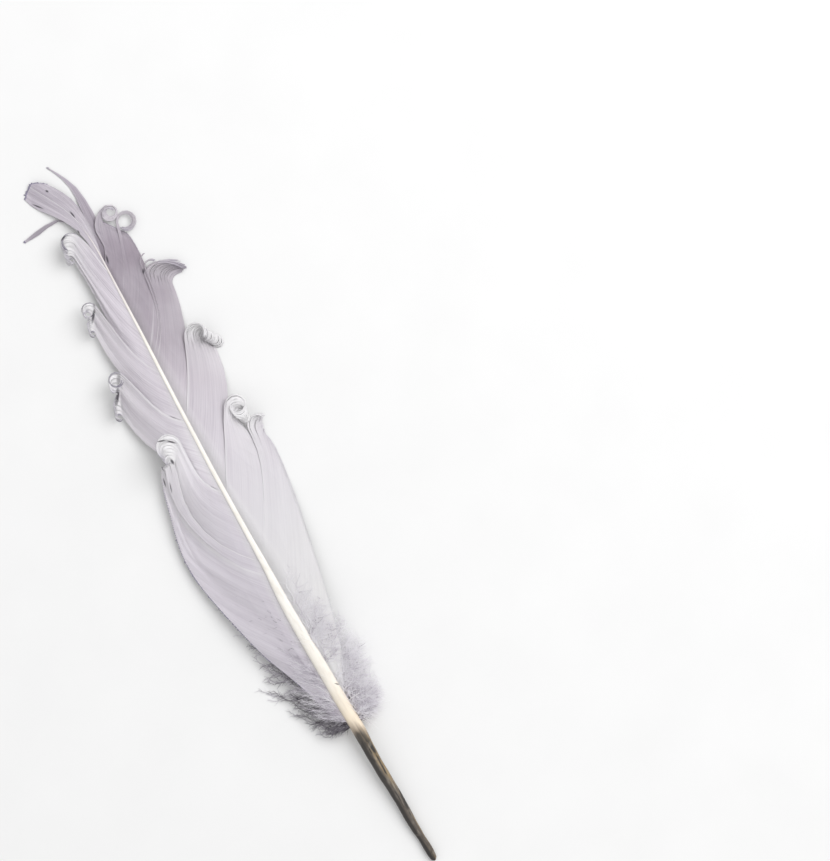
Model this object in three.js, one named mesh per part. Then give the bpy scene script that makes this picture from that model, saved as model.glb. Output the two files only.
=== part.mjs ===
// A goose quill feather with a curled vane, lying on its underside with its outer face up.
//
// The bare quill and the tapering shaft are one piece. The vane on each side of the shaft has
// come apart into locks, which join only the shaft and curl at their free ends. A tuft and two
// stray wisps end the feather, and loose down grows from the shaft below the vane.
//
// Units are millimetres. +X runs from the quill end to the tip, +Y is the narrow side of the
// vane and +Z is up. The stations and points below are measured from the quill end, and the
// finished feather is moved so that the origin is under the middle of its box.
import * as THREE from "three";

// ---- Driving dimensions ----
const VANE_THICKNESS = 0.4;
const DOWN_THICKNESS = 0.5;
const ROOT_GAP = 0.3;           // clearance between the shaft and the root of a lock
const SHAFT_SIDES = 12;
const LEFT_DROOP = 7.6;         // how far the vane hangs at DROOP_REACH from the shaft
const RIGHT_DROOP = 8.9;
const DROOP_REACH = 19.5;
const DROOP_POWER = 1.6;
const LOWEST_SHEET = 0.3;       // height of the middle of a sheet that touches the surface
const STEPS_ALONG = 26;         // steps along a lock, root to curled end
const END_CROWDING = 1.8;       // above 1, the steps get shorter towards the curled end
const FEWEST_STRIPS = 4;        // strips across a lock, at least
const CURL_STEP = THREE.MathUtils.degToRad(9);
const PALE_RIGHT_LOCKS = 2;     // the first right locks are paler than the rest
const LEFT = 1;
const RIGHT = -1;

// Stations along the shaft: distance from the quill end, sideways place of its middle, height
// of its underside and its width. It rests flat from 2.5 to 11 mm, then arches over the vane.
const SHAFT = [
  [0, 0.3, 0.75, 0.7],
  [0.8, 0.28, 0.25, 1.6],
  [2.5, 0.2, 0, 2.1],
  [5, 0.1, 0, 2.3],
  [7, 0.12, 0, 2.25],
  [11, 0.15, 0, 2.65],
  [15, 0, 0.3, 2.8],
  [20, -0.3, 0.7, 3.0],
  [27, -0.42, 1.25, 3.2],
  [35, -0.6, 1.9, 3.4],
  [41, -1.0, 2.35, 3.75],
  [46, -1.3, 2.75, 3.95],
  [52, -1.45, 3.2, 4.0],
  [60, -1.7, 3.8, 3.8],
  [70, -2.0, 4.6, 3.6],
  [80, -2.3, 5.3, 3.3],
  [90, -2.85, 5.95, 2.8],
  [98, -3.5, 6.5, 2.1],
  [107, -4.0, 6.9, 1.65],
  [118, -4.6, 7.15, 1.42],
  [130, -5.25, 7.1, 1.3],
  [142, -6.1, 6.85, 1.18],
  [154, -6.95, 6.35, 1.08],
  [166, -7.9, 5.65, 1.0],
  [178, -8.85, 4.85, 0.84],
  [190, -9.65, 3.95, 0.7],
  [200, -10.35, 3.2, 0.56],
  [206, -10.6, 2.75, 0.42],
];

// Past the shaft's end the vane goes on sinking to the surface.
const SHAFT_AND_TUFT = [...SHAFT, [216, -9, 2.0, 0.4], [233, -6, 0.8, 0.4]];

// A guide barb: its root's station on the shaft, the points it passes with their height above
// the drooping vane, and the curl at its end. A lock is the sheet spread over its guide barbs,
// which run from the one nearest the quill to the one nearest the tip.
const barb = (root, path, curl = null) => ({ root, path, curl });

// A curl: radius where it starts, turns, share of the radius left at its end, rise in mm a turn,
// and tilt, which is 90 for a curl that lies flat and 0 for one that rolls straight up.
const curl = (radius, turns, left = 0.7, rise = 0, tilt = 90) => ({ radius, turns, left, rise, tilt });

const LEFT_LOCKS = [
  [
    barb(50, [[53, 2.3, 0], [57.5, 4.7, 0]]),
    barb(56, [[62, 4.0, 0], [69, 8.8, 0]]),
    barb(64, [[73, 5.4, 0], [86, 12.3, 0]]),
    barb(73, [[83, 6.2, 0], [92, 11.2, 0], [102, 15.3, 0]]),
    barb(82, [[92, 5.8, 0], [103, 11.8, 0], [116, 15.3, 0]]),
    barb(88, [[98, 5.4, 0], [108, 10.6, 0], [118, 13.4, 0], [128, 11.8, 0.2]]),
    barb(94, [[104, 4.6, 0], [114, 8.9, 0.3], [124, 10.6, 0.6], [132, 9.2, 1.2], [137.5, 6.6, 1.8]]),
    barb(101, [
      [107.5, 2.6, 0.4], [114, 6.2, 0.8], [121, 8.2, 1.0],
      [128, 7.9, 1.4], [134, 5.2, 2], [138, 4.1, 2.6],
    ]),
  ],
  [
    barb(102, [
      [109, 1.6, 0], [115, 4.5, 0], [121, 6.2, 0],
      [127, 6.0, 0.2], [133, 3.8, 0.8], [138, 2.4, 1.3],
    ], curl(1.0, 0.5, 0.8, 0.6)),
    barb(113, [[120, 0.8, 0.3], [128, 2.6, 0.7], [134.5, 1.6, 1.3], [141, 0.7, 2.0]],
      curl(2.5, 0.55, 0.8, 0.8)),
    barb(124, [[129, -1.5, 0.8], [135.5, -1.0, 1.6], [142.5, -1.7, 2.6]], curl(4.3, 0.6, 0.75, 1.2)),
  ],
  [
    barb(125.5, [[130, -2.6, 0], [137, 0.9, 0], [143, 4.4, 0], [150, 7.5, 0.2], [158.5, 8.9, 0.8]],
      curl(1.5, 0.8, 0.7, 0.8)),
    barb(136, [[143, 0.5, 0.2], [150, 3.8, 0.5], [157, 5.9, 1.1], [163.5, 6.3, 1.8]],
      curl(2.0, 0.8, 0.7, 0.6, 50)),
    barb(147, [[151.5, -2.3, 0.6], [157, -0.2, 1.2], [163, 1.0, 1.8], [168.5, 2.3, 2.6]],
      curl(2.6, 0.85, 0.7, 1)),
  ],
  [
    barb(148.5, [[154, -3.0, 0], [162, -0.4, 0], [169, 1.9, 0], [176, 3.0, 0.4], [183.3, 2.8, 1]],
      curl(1.1, 0.8, 0.8, 0.5)),
    barb(155.5, [[162, -3.4, 0.3], [170, -0.9, 0.5], [178.5, 0.4, 1.2], [187, 0.6, 1.8]],
      curl(1.6, 0.75, 0.8, 0.6)),
    barb(163, [[168, -4.9, 0.6], [174, -3.2, 1.2], [181.5, -2.4, 1.8], [189.8, -1.7, 2.4]],
      curl(2.5, 0.7, 0.8, 1)),
  ],
  [
    barb(164.5, [[170, -5.3, 0], [177, -3.8, 0], [185, -3.1, 0], [193, -2.9, 0.2], [200, -2.7, 0.9]],
      curl(1.2, 0.5, 0.8, 0.5)),
    barb(175, [[182, -6.2, 0.1], [190, -5.0, 0.3], [197, -4.4, 0.7], [204, -4.0, 1.4]],
      curl(1.7, 0.55, 0.8, 0.7)),
    barb(186, [[193, -7.5, 0.3], [200, -6.2, 0.7], [207, -5.6, 1.8]], curl(2.3, 0.55, 0.8, 0.8)),
    barb(197, [[202, -9.1, 0.9], [207, -8.6, 1.6], [210, -7.8, 2.2]], curl(3.4, 0.6, 0.8, 1)),
  ],
];

const RIGHT_LOCKS = [
  [
    barb(57.5, [[63, -6.6, 0], [71, -11.2, 0]]),
    barb(66, [[74, -8.4, 0], [86, -14.8, 0]]),
    barb(75, [[84, -9.2, 0], [94, -14.6, 0], [103, -18.9, 0]]),
    barb(84, [[93, -9.6, 0], [104, -15.8, 0], [117, -22.0, 0]]),
    barb(91, [[101, -10.7, 0], [113, -17.0, 0], [127, -23.4, 0]]),
    barb(96, [[106, -11.0, 0], [118, -17.4, 0], [127, -21.4, 0.2], [133.5, -22.6, 0.6]]),
    barb(101, [[111, -10.6, 0.3], [121, -16.1, 0.6], [129, -19.2, 1.2], [136, -20.3, 1.8]],
      curl(3.2, 0.5, 0.8, 1)),
  ],
  [
    barb(102, [[112, -10.2, 0], [122, -15.2, 0], [131, -17.9, 0.3], [138.5, -18.7, 1]],
      curl(2.0, 0.85, 0.7, 0.6)),
    barb(112.5, [[122, -10.6, 0.2], [131, -15.0, 0.6], [138, -17.0, 1.3], [142, -17.9, 1.9]],
      curl(2.8, 0.75, 0.7, 0.8)),
    barb(123, [[130, -9.2, 0.6], [137, -13.2, 1.2], [142, -15.8, 2], [145.5, -18.2, 2.8]],
      curl(3.6, 0.6, 0.75, 1)),
  ],
  [
    barb(124, [
      [132, -10.9, 0], [140, -15.7, 0], [146.5, -19.6, 0],
      [153, -22.8, 0.2], [162.5, -24.8, 0.8],
    ], curl(1.9, 0.85, 0.7, 0.6)),
    barb(136, [[144, -12.3, 0.2], [153, -17.6, 0.4], [160, -20.6, 1], [166, -21.9, 1.6]],
      curl(2.9, 0.75, 0.7, 0.8, 60)),
    barb(148, [[155, -11.6, 0.5], [162, -15.6, 1], [168.5, -18.7, 1.8]], curl(4.2, 0.6, 0.75, 1.2)),
  ],
  [
    barb(149, [[157, -12.4, 0], [165, -16.8, 0], [173, -20.4, 0], [180, -22.9, 0.3], [185, -23.3, 1]],
      curl(1.8, 0.7, 0.7, 0.6)),
    barb(160, [[168, -13.2, 0.1], [176, -17.4, 0.4], [183, -20.4, 1], [188.2, -21.8, 1.6]],
      curl(2.2, 0.7, 0.7, 0.8)),
    barb(171, [[178, -13.7, 0.4], [184.5, -17.0, 1], [190.6, -18.8, 1.8]], curl(3.0, 0.6, 0.75, 1)),
  ],
  [
    barb(172, [[180, -14.1, 0], [188, -17.9, 0], [194, -20.2, 0], [200, -21.0, 0.3], [205.5, -18.9, 1.2]],
      curl(3.0, 0.85, 0.8, 1.2)),
    barb(185, [[192, -14.2, 0.1], [199, -17.4, 0.5], [205, -18.0, 1.6]], curl(3.0, 0.8, 0.75, 1.2)),
    barb(199, [[204, -13.4, 0.6], [208, -14.3, 1.6], [211.6, -16.0, 2.6]], curl(3.2, 0.7, 0.75, 1.2)),
  ],
];

// The tuft's barbs leave the very end of the shaft, so their paths start beyond it.
const TIP_TUFT = [
  barb(null, [
    [206.8, -9.8, 0], [211, -9.0, 0], [216, -6.8, 0],
    [221, -3.6, 0], [225, -1.0, 0], [227.3, -0.3, 0],
  ]),
  barb(null, [[206.8, -10.35, 0], [213, -9.5, 0], [220, -6.8, 0], [226, -3.4, 0], [229, -1.9, 0]]),
  barb(null, [[206.8, -10.95, 0], [213, -10.8, 0], [220, -9.0, 0], [226, -6.2, 0], [230.2, -3.9, 0]]),
  barb(null, [[206.8, -11.5, 0], [213, -12.0, 0], [219, -11.9, 0], [224, -10.5, 0], [228.5, -7.8, 0]]),
];

const LEFT_WISP = [
  barb(202, [
    [209, -8.7, -1.3], [214, -6.6, -1.3], [217, -4.2, -1.2],
    [217.2, -1.5, -0.6], [217.3, 6, 0.4],
  ]),
  barb(204.5, [
    [209.5, -9.7, -1.3], [214.5, -7.8, -1.3], [218, -4.9, -1.2],
    [218.3, -1.5, -0.6], [217.7, 6, 0.4],
  ]),
];

const RIGHT_WISP = [
  barb(200, [
    [205, -13.0, -0.5], [213, -15.2, -0.9], [219, -15.1, -0.9],
    [226, -13.4, -0.6], [231.5, -10.9, 0],
  ]),
  barb(203.5, [
    [207, -12.1, -0.5], [213, -13.4, -0.9], [219, -13.4, -0.9],
    [226, -12.1, -0.6], [231.5, -10.4, 0],
  ]),
];

const LEFT_DOWN = [
  barb(47.5, [[48.3, 4.5, -1.2], [52, 12, -1.4]]),
  barb(49.5, [[54, 8.5, -1.2], [61, 17, -1.4]]),
  barb(52, [[60, 8.9, -1.2], [70, 16, -1.3]]),
  barb(54.5, [[65, 8.6, -1.2], [81.5, 16.3, -0.2]]),
  barb(57, [[66, 5.2, -1.3], [78, 11.4, -1.2], [91, 16.8, 0.2]]),
];

const RIGHT_DOWN = [
  barb(49, [[50, -7, -1.2], [50.5, -13, -1.4]]),
  barb(53, [[56, -9, -1.2], [58.5, -15.2, -1.4]]),
  barb(58, [[63.5, -9, -1.2], [69, -15.8, -1.4]]),
  barb(64, [[70.5, -9, -1.3], [79, -15.6, -1.4]]),
];

const HORN = new THREE.MeshStandardMaterial({ color: 0xf4ecdc, roughness: 0.35, metalness: 0 });
const PALE_VANE = new THREE.MeshStandardMaterial({ color: 0xd6d2d8, roughness: 0.8, metalness: 0 });
const GREY_VANE = new THREE.MeshStandardMaterial({ color: 0xc4bcc8, roughness: 0.8, metalness: 0 });
const DARK_DOWN = new THREE.MeshStandardMaterial({ color: 0x77707c, roughness: 0.9, metalness: 0 });
const PALE_DOWN = new THREE.MeshStandardMaterial({ color: 0xc6c1c6, roughness: 0.9, metalness: 0 });

// The value of one column of a station table at distance x, on a smooth curve through the rows.
function along(stations, x, column) {
  const last = stations.length - 1;
  let i = 0;
  while (i < last - 1 && stations[i + 1][0] < x) {
    i += 1;
  }
  const slope = (row) => {
    const before = stations[Math.max(row - 1, 0)];
    const after = stations[Math.min(row + 1, last)];
    return (after[column] - before[column]) / (after[0] - before[0]);
  };
  const span = stations[i + 1][0] - stations[i][0];
  const t = THREE.MathUtils.clamp((x - stations[i][0]) / span, 0, 1);
  const start = stations[i][column];
  const change = stations[i + 1][column] - start;
  return start
    + change * (3 * t * t - 2 * t * t * t)
    + span * slope(i) * (t - 2 * t * t + t * t * t)
    + span * slope(i + 1) * (t * t * t - t * t);
}

// Height of the middle of the shaft, whose section is a regular polygon standing on one side.
function shaftMiddle(x) {
  const halfHeight = 0.5 * along(SHAFT_AND_TUFT, x, 3) * Math.cos(Math.PI / SHAFT_SIDES);
  return along(SHAFT_AND_TUFT, x, 2) + halfHeight;
}

// Height of the drooping vane at a place beside the shaft.
function vaneHeight(x, y) {
  const sideways = y - along(SHAFT_AND_TUFT, x, 1);
  const reach = Math.max(Math.abs(sideways) - 0.5 * along(SHAFT_AND_TUFT, x, 3), 0);
  const droop = sideways > 0 ? LEFT_DROOP : RIGHT_DROOP;
  return shaftMiddle(x) - droop * (reach / DROOP_REACH) ** DROOP_POWER;
}

// Closes a grid of points, given as rows, into one solid. The rows of the upper face come first,
// then those of the lower face, and the rim joins the two.
function closedSheet(upper, lower) {
  const rows = upper.length;
  const columns = upper[0].length;
  const positions = [];
  for (const point of [...upper.flat(), ...lower.flat()]) {
    positions.push(point.x, point.y, point.z);
  }
  const top = (row, column) => row * columns + column;
  const bottom = (row, column) => (rows + row) * columns + column;
  const indices = [];
  const quad = (a, b, c, d) => indices.push(a, b, c, a, c, d);
  for (let row = 0; row < rows - 1; row += 1) {
    for (let column = 0; column < columns - 1; column += 1) {
      const next = column + 1;
      quad(top(row, column), top(row, next), top(row + 1, next), top(row + 1, column));
      quad(bottom(row, column), bottom(row + 1, column), bottom(row + 1, next), bottom(row, next));
    }
    quad(top(row, 0), top(row + 1, 0), bottom(row + 1, 0), bottom(row, 0));
    const end = columns - 1;
    quad(top(row, end), bottom(row, end), bottom(row + 1, end), top(row + 1, end));
  }
  for (let column = 0; column < columns - 1; column += 1) {
    quad(top(0, column), bottom(0, column), bottom(0, column + 1), top(0, column + 1));
    const edge = rows - 1;
    quad(top(edge, column), top(edge, column + 1), bottom(edge, column + 1), bottom(edge, column));
  }
  const geometry = new THREE.BufferGeometry();
  geometry.setAttribute("position", new THREE.Float32BufferAttribute(positions, 3));
  geometry.setIndex(indices);
  return geometry;
}

// The points of a curl that carries on from two points at the end of a path.
function curlPoints(before, start, side, { radius, turns, left, rise, tilt }) {
  const forward = start.clone().sub(before).normalize();
  const sideways = new THREE.Vector3(0, 0, side).cross(forward).normalize();
  const up = forward.clone().cross(sideways).multiplyScalar(side);
  const lean = THREE.MathUtils.degToRad(tilt);
  const inward = sideways.multiplyScalar(Math.sin(lean)).addScaledVector(up, Math.cos(lean));
  const steps = Math.ceil((turns * 2 * Math.PI) / CURL_STEP);
  const turn = (turns * 2 * Math.PI) / steps;
  const points = [];
  let here = start;
  for (let step = 0; step < steps; step += 1) {
    const angle = (step + 0.5) * turn;
    const reach = radius * (1 - ((1 - left) * step) / steps) * turn;
    here = here.clone()
      .addScaledVector(forward, reach * Math.cos(angle))
      .addScaledVector(inward, reach * Math.sin(angle));
    here.z += (rise * turn) / (2 * Math.PI);
    points.push(here);
  }
  return points;
}

// One guide barb as STEPS_ALONG steps from its root to its end.
function guidePoints({ root, path, curl: end }, side) {
  const points = [];
  if (root !== null) {
    const beside = 0.5 * along(SHAFT, root, 3) + ROOT_GAP;
    const lift = path[0][2] < 0 ? path[0][2] : 0;
    points.push(new THREE.Vector3(root, along(SHAFT, root, 1) + side * beside, shaftMiddle(root) + lift));
  }
  for (const [x, y, lift] of path) {
    points.push(new THREE.Vector3(x, y, Math.max(vaneHeight(x, y) + lift, LOWEST_SHEET)));
  }
  const smooth = new THREE.CatmullRomCurve3(points).getPoints(12 * points.length);
  if (end) {
    smooth.push(...curlPoints(smooth.at(-2), smooth.at(-1), side, end));
  }
  const whole = new THREE.CurvePath();
  for (let i = 0; i < smooth.length - 1; i += 1) {
    whole.add(new THREE.LineCurve3(smooth[i], smooth[i + 1]));
  }
  const share = (step) => 1 - (1 - step / STEPS_ALONG) ** END_CROWDING;
  return Array.from({ length: STEPS_ALONG + 1 }, (_, step) => whole.getPoint(share(step)));
}

// Spreads a sheet of the given thickness over guide barbs and returns its closed solid.
function lockGeometry(guides, side, thickness, fewestStrips = FEWEST_STRIPS) {
  const lines = guides.map((guide) => guidePoints(guide, side));
  const ordered = side === LEFT ? lines.reverse() : lines;
  const rows = Math.max(ordered.length - 1, fewestStrips);
  const middle = Array.from({ length: rows + 1 }, () => []);
  for (let step = 0; step <= STEPS_ALONG; step += 1) {
    const across = new THREE.CatmullRomCurve3(ordered.map((line) => line[step]));
    middle.forEach((row, i) => row.push(across.getPoint(i / rows)));
  }
  const offset = (row, step, distance) => {
    const next = Math.min(step + 1, STEPS_ALONG);
    const previous = Math.max(step - 1, 0);
    const onward = middle[row][next].clone().sub(middle[row][previous]);
    const above = middle[Math.min(row + 1, rows)][step];
    const below = middle[Math.max(row - 1, 0)][step];
    const sideways = above.clone().sub(below);
    const normal = onward.cross(sideways).normalize();
    return middle[row][step].clone().addScaledVector(normal, distance);
  };
  const face = (distance) => middle.map((row, i) => row.map((_, step) => offset(i, step, distance)));
  return closedSheet(face(0.5 * thickness), face(-0.5 * thickness));
}

// The quill and shaft: one loft through the shaft's stations, closed at both ends.
function shaftGeometry() {
  const positions = [];
  const indices = [];
  for (const [x, y, underside, width] of SHAFT) {
    const radius = 0.5 * width;
    const middle = underside + radius * Math.cos(Math.PI / SHAFT_SIDES);
    for (let corner = 0; corner < SHAFT_SIDES; corner += 1) {
      const angle = ((corner + 0.5) * 2 * Math.PI) / SHAFT_SIDES - 0.5 * Math.PI;
      positions.push(x, y + radius * Math.cos(angle), middle + radius * Math.sin(angle));
    }
  }
  for (let ring = 0; ring < SHAFT.length - 1; ring += 1) {
    for (let corner = 0; corner < SHAFT_SIDES; corner += 1) {
      const a = ring * SHAFT_SIDES + corner;
      const b = ring * SHAFT_SIDES + ((corner + 1) % SHAFT_SIDES);
      indices.push(a, b + SHAFT_SIDES, a + SHAFT_SIDES, a, b, b + SHAFT_SIDES);
    }
  }
  const lastRing = (SHAFT.length - 1) * SHAFT_SIDES;
  for (let corner = 1; corner < SHAFT_SIDES - 1; corner += 1) {
    indices.push(0, corner + 1, corner);
    indices.push(lastRing, lastRing + corner, lastRing + corner + 1);
  }
  const geometry = new THREE.BufferGeometry();
  geometry.setAttribute("position", new THREE.Float32BufferAttribute(positions, 3));
  geometry.setIndex(indices);
  return geometry;
}

// ---- The feather ----
const feather = new THREE.Group();

function addPiece(name, geometry, material) {
  geometry.computeVertexNormals();
  const mesh = new THREE.Mesh(geometry, material);
  mesh.name = name;
  feather.add(mesh);
}

addPiece("shaft", shaftGeometry(), HORN);
LEFT_LOCKS.forEach((guides, i) => {
  addPiece(`left_lock_${i + 1}`, lockGeometry(guides, LEFT, VANE_THICKNESS), GREY_VANE);
});
RIGHT_LOCKS.forEach((guides, i) => {
  const material = i < PALE_RIGHT_LOCKS ? PALE_VANE : GREY_VANE;
  addPiece(`right_lock_${i + 1}`, lockGeometry(guides, RIGHT, VANE_THICKNESS), material);
});
addPiece("tip_tuft", lockGeometry(TIP_TUFT, RIGHT, VANE_THICKNESS), GREY_VANE);
addPiece("left_wisp", lockGeometry(LEFT_WISP, RIGHT, VANE_THICKNESS, 1), GREY_VANE);
addPiece("right_wisp", lockGeometry(RIGHT_WISP, RIGHT, VANE_THICKNESS, 1), GREY_VANE);
addPiece("left_down", lockGeometry(LEFT_DOWN, LEFT, DOWN_THICKNESS), DARK_DOWN);
addPiece("right_down", lockGeometry(RIGHT_DOWN, RIGHT, DOWN_THICKNESS), PALE_DOWN);

const box = new THREE.Box3().setFromObject(feather);
const middle = box.getCenter(new THREE.Vector3());
feather.position.set(-middle.x, -middle.y, -box.min.z);
feather.updateMatrixWorld(true);

export default feather;
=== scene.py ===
import math

import bpy
import numpy as np
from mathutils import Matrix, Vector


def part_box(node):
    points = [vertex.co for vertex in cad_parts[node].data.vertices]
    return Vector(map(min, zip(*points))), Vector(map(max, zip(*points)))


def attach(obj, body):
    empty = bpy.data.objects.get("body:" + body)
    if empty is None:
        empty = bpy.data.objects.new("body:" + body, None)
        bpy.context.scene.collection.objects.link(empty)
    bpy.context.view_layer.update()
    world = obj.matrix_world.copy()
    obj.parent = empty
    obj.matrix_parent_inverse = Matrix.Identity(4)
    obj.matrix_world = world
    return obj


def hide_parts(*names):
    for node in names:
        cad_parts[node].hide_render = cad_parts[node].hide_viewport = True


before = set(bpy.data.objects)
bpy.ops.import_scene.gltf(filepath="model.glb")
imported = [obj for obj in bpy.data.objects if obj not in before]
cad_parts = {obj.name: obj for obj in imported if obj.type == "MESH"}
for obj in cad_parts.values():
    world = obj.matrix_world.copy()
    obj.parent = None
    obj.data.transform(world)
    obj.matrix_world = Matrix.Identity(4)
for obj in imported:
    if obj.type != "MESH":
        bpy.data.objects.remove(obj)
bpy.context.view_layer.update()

# ---- Shaft -----------------------------------------------------------------------------------
# The bare quill and the tapering shaft are one growth of horn: a round dark tube where it sat in
# the wing, then a cream and at last white shaft, domed above and grooved below. It is a profile
# carried along the stations, each with its place sideways, the height of its underside and width.

MM = 0.001
CAD_SIDES = 12
SHAFT_STATIONS = np.array([
    # from quill end, sideways, underside, width, all in mm
    (0, 0.28, 0.65, 1.1),
    (0.8, 0.26, 0.15, 1.95),
    (2.5, 0.18, 0.0, 2.35),
    (5, 0.10, 0.0, 2.45),
    (7, 0.12, 0.0, 2.35),
    (11, 0.15, 0.0, 2.65),
    (15, 0.0, 0.3, 2.8),
    (20, -0.3, 0.7, 3.0),
    (27, -0.42, 1.25, 3.2),
    (35, -0.6, 1.9, 3.4),
    (41, -1.0, 2.35, 3.75),
    (46, -1.3, 2.75, 3.95),
    (52, -1.45, 3.2, 4.0),
    (60, -1.7, 3.8, 3.8),
    (70, -2.0, 4.6, 3.6),
    (80, -2.3, 5.3, 3.3),
    (90, -2.85, 5.95, 2.8),
    (98, -3.5, 6.5, 2.1),
    (107, -4.0, 6.9, 1.65),
    (118, -4.6, 7.15, 1.42),
    (130, -5.25, 7.1, 1.3),
    (142, -6.1, 6.85, 1.18),
    (154, -6.95, 6.35, 1.08),
    (166, -7.9, 5.65, 1.0),
    (178, -8.85, 4.85, 0.84),
    (190, -9.65, 3.95, 0.7),
    (200, -10.35, 3.2, 0.56),
    (206, -10.6, 2.75, 0.42),
    (211, -10.4, 2.4, 0.2),
    (233, -6.0, 0.8, 0.2),
])
SHAFT_END = 211.0
SHAFT_SIDES = 40
SHAFT_STEP = 1.0
CLOSING = 0.8                     # length over which the quill's end closes, in mm
ROUNDNESS = (2.0, 2.7)            # exponent of the section, at the quill and along the shaft
BOXY_FROM, BOXY_OVER = 45, 25     # where the exponent starts to grow, and over what length, in mm
GROOVE_DEPTH, GROOVE_WIDTH = 0.22, 0.42      # share of the radius, and radians
BELOW = 1.5 * math.pi             # the way down, as an angle around the section
WAVES_UNTIL, WAVES_FADE, WAVE_DEPTH = 38, 12, 0.02
WAIST_AT, WAIST_LENGTH, WAIST_DEPTH = 8.2, 1.5, 0.11
NICK_AT, NICK_LENGTH, NICK_DEPTH = 59, 0.5, 0.12
NICK_SIDE, NICK_SPREAD = 1.86 * math.pi, 0.3     # angles around the section, in radians
LOWEST_HORN = 0.01                # the shaft stays this far above the floor, in mm


def through(points, knots, at):
    """The natural cubic spline that passes through each row of points at its knot, read at the
    places in at. Its second derivatives solve the usual three-term equations."""
    points, knots, at = np.asarray(points, float), np.asarray(knots, float), np.asarray(at, float)
    count, gaps = len(knots), np.diff(knots)
    flat = points.reshape(count, -1)
    system, right = np.eye(count), np.zeros_like(flat)
    inner = np.arange(1, count - 1)
    system[inner, inner - 1] = gaps[:-1]
    system[inner, inner] = 2 * (gaps[:-1] + gaps[1:])
    system[inner, inner + 1] = gaps[1:]
    rise = np.diff(flat, axis=0) / gaps[:, None]
    right[1:-1] = 6 * np.diff(rise, axis=0)
    bend = np.linalg.solve(system, right)
    i = np.clip(np.searchsorted(knots, at, side="right") - 1, 0, count - 2)
    gap = gaps[i][:, None]
    a, b = (knots[i + 1] - at)[:, None], (at - knots[i])[:, None]
    read = (bend[i] * a**3 + bend[i + 1] * b**3) / (6 * gap)
    read += (flat[i] / gap - bend[i] * gap / 6) * a + (flat[i + 1] / gap - bend[i + 1] * gap / 6) * b
    return read.reshape(len(at), *points.shape[1:])


STATION_GRID = np.arange(0, SHAFT_STATIONS[-1, 0] + 0.01, 0.25)
STATION_CURVE = through(SHAFT_STATIONS[:, 1:], SHAFT_STATIONS[:, 0], STATION_GRID)
STATION_CURVE[:, 2] = np.interp(STATION_GRID, SHAFT_STATIONS[:, 0], SHAFT_STATIONS[:, 3])


def shaft_at(x, what):
    """Sideways place, underside or width of the shaft at distance x, for what = 0, 1 or 2, read
    off the spline through the stations."""
    return np.interp(x, STATION_GRID, STATION_CURVE[:, what])


def shaft_middle(x):
    """Height of the shaft's middle: its underside and half the height of the 12-sided section."""
    return shaft_at(x, 1) + 0.5 * shaft_at(x, 2) * math.cos(math.pi / CAD_SIDES)


# The stations are measured from the quill end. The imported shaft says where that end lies: its
# lowest x is the end, and its highest y the widest place of the 12-sided quill.
shaft_low, shaft_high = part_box("shaft")
quill_edge = np.max(
    SHAFT_STATIONS[:-2, 1] + 0.5 * SHAFT_STATIONS[:-2, 3] * math.cos(math.pi / CAD_SIDES)
)
ORIGIN = np.array([shaft_low.x, shaft_high.y - quill_edge * MM, shaft_low.z])


def mesh_piece(name, parts, material, node, slot):
    """Makes one piece from points in mm, rows of four corners (a fourth corner of -1 makes a
    triangle), and for each point a pair of pattern coordinates, a tone and a share of curl."""
    points, faces, uv, tones, curls = parts
    mesh = bpy.data.meshes.new(name)
    mesh.vertices.add(len(points))
    mesh.vertices.foreach_set("co", (ORIGIN + points * MM).astype(np.float32).ravel())
    corners = faces.ravel()
    corners = corners[corners >= 0]
    totals = (faces >= 0).sum(1)
    mesh.loops.add(len(corners))
    mesh.loops.foreach_set("vertex_index", corners.astype(np.int32))
    mesh.polygons.add(len(faces))
    mesh.polygons.foreach_set("loop_start", np.r_[0, np.cumsum(totals)[:-1]].astype(np.int32))
    mesh.polygons.foreach_set("loop_total", totals.astype(np.int32))
    mesh.update(calc_edges=True)
    layer = mesh.uv_layers.new(name="UVMap")
    layer.data.foreach_set("uv", uv[corners].astype(np.float32).ravel())
    for label, values in (("tone", tones), ("curl", curls)):
        attribute = mesh.attributes.new(label, "FLOAT", "POINT")
        attribute.data.foreach_set("value", values.astype(np.float32))
    mesh.polygons.foreach_set("use_smooth", np.full(len(faces), slot != "down"))
    mesh.materials.append(material)
    piece = bpy.data.objects.new(name, mesh)
    bpy.context.scene.collection.objects.link(piece)
    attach(piece, "root")
    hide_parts(node)


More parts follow.
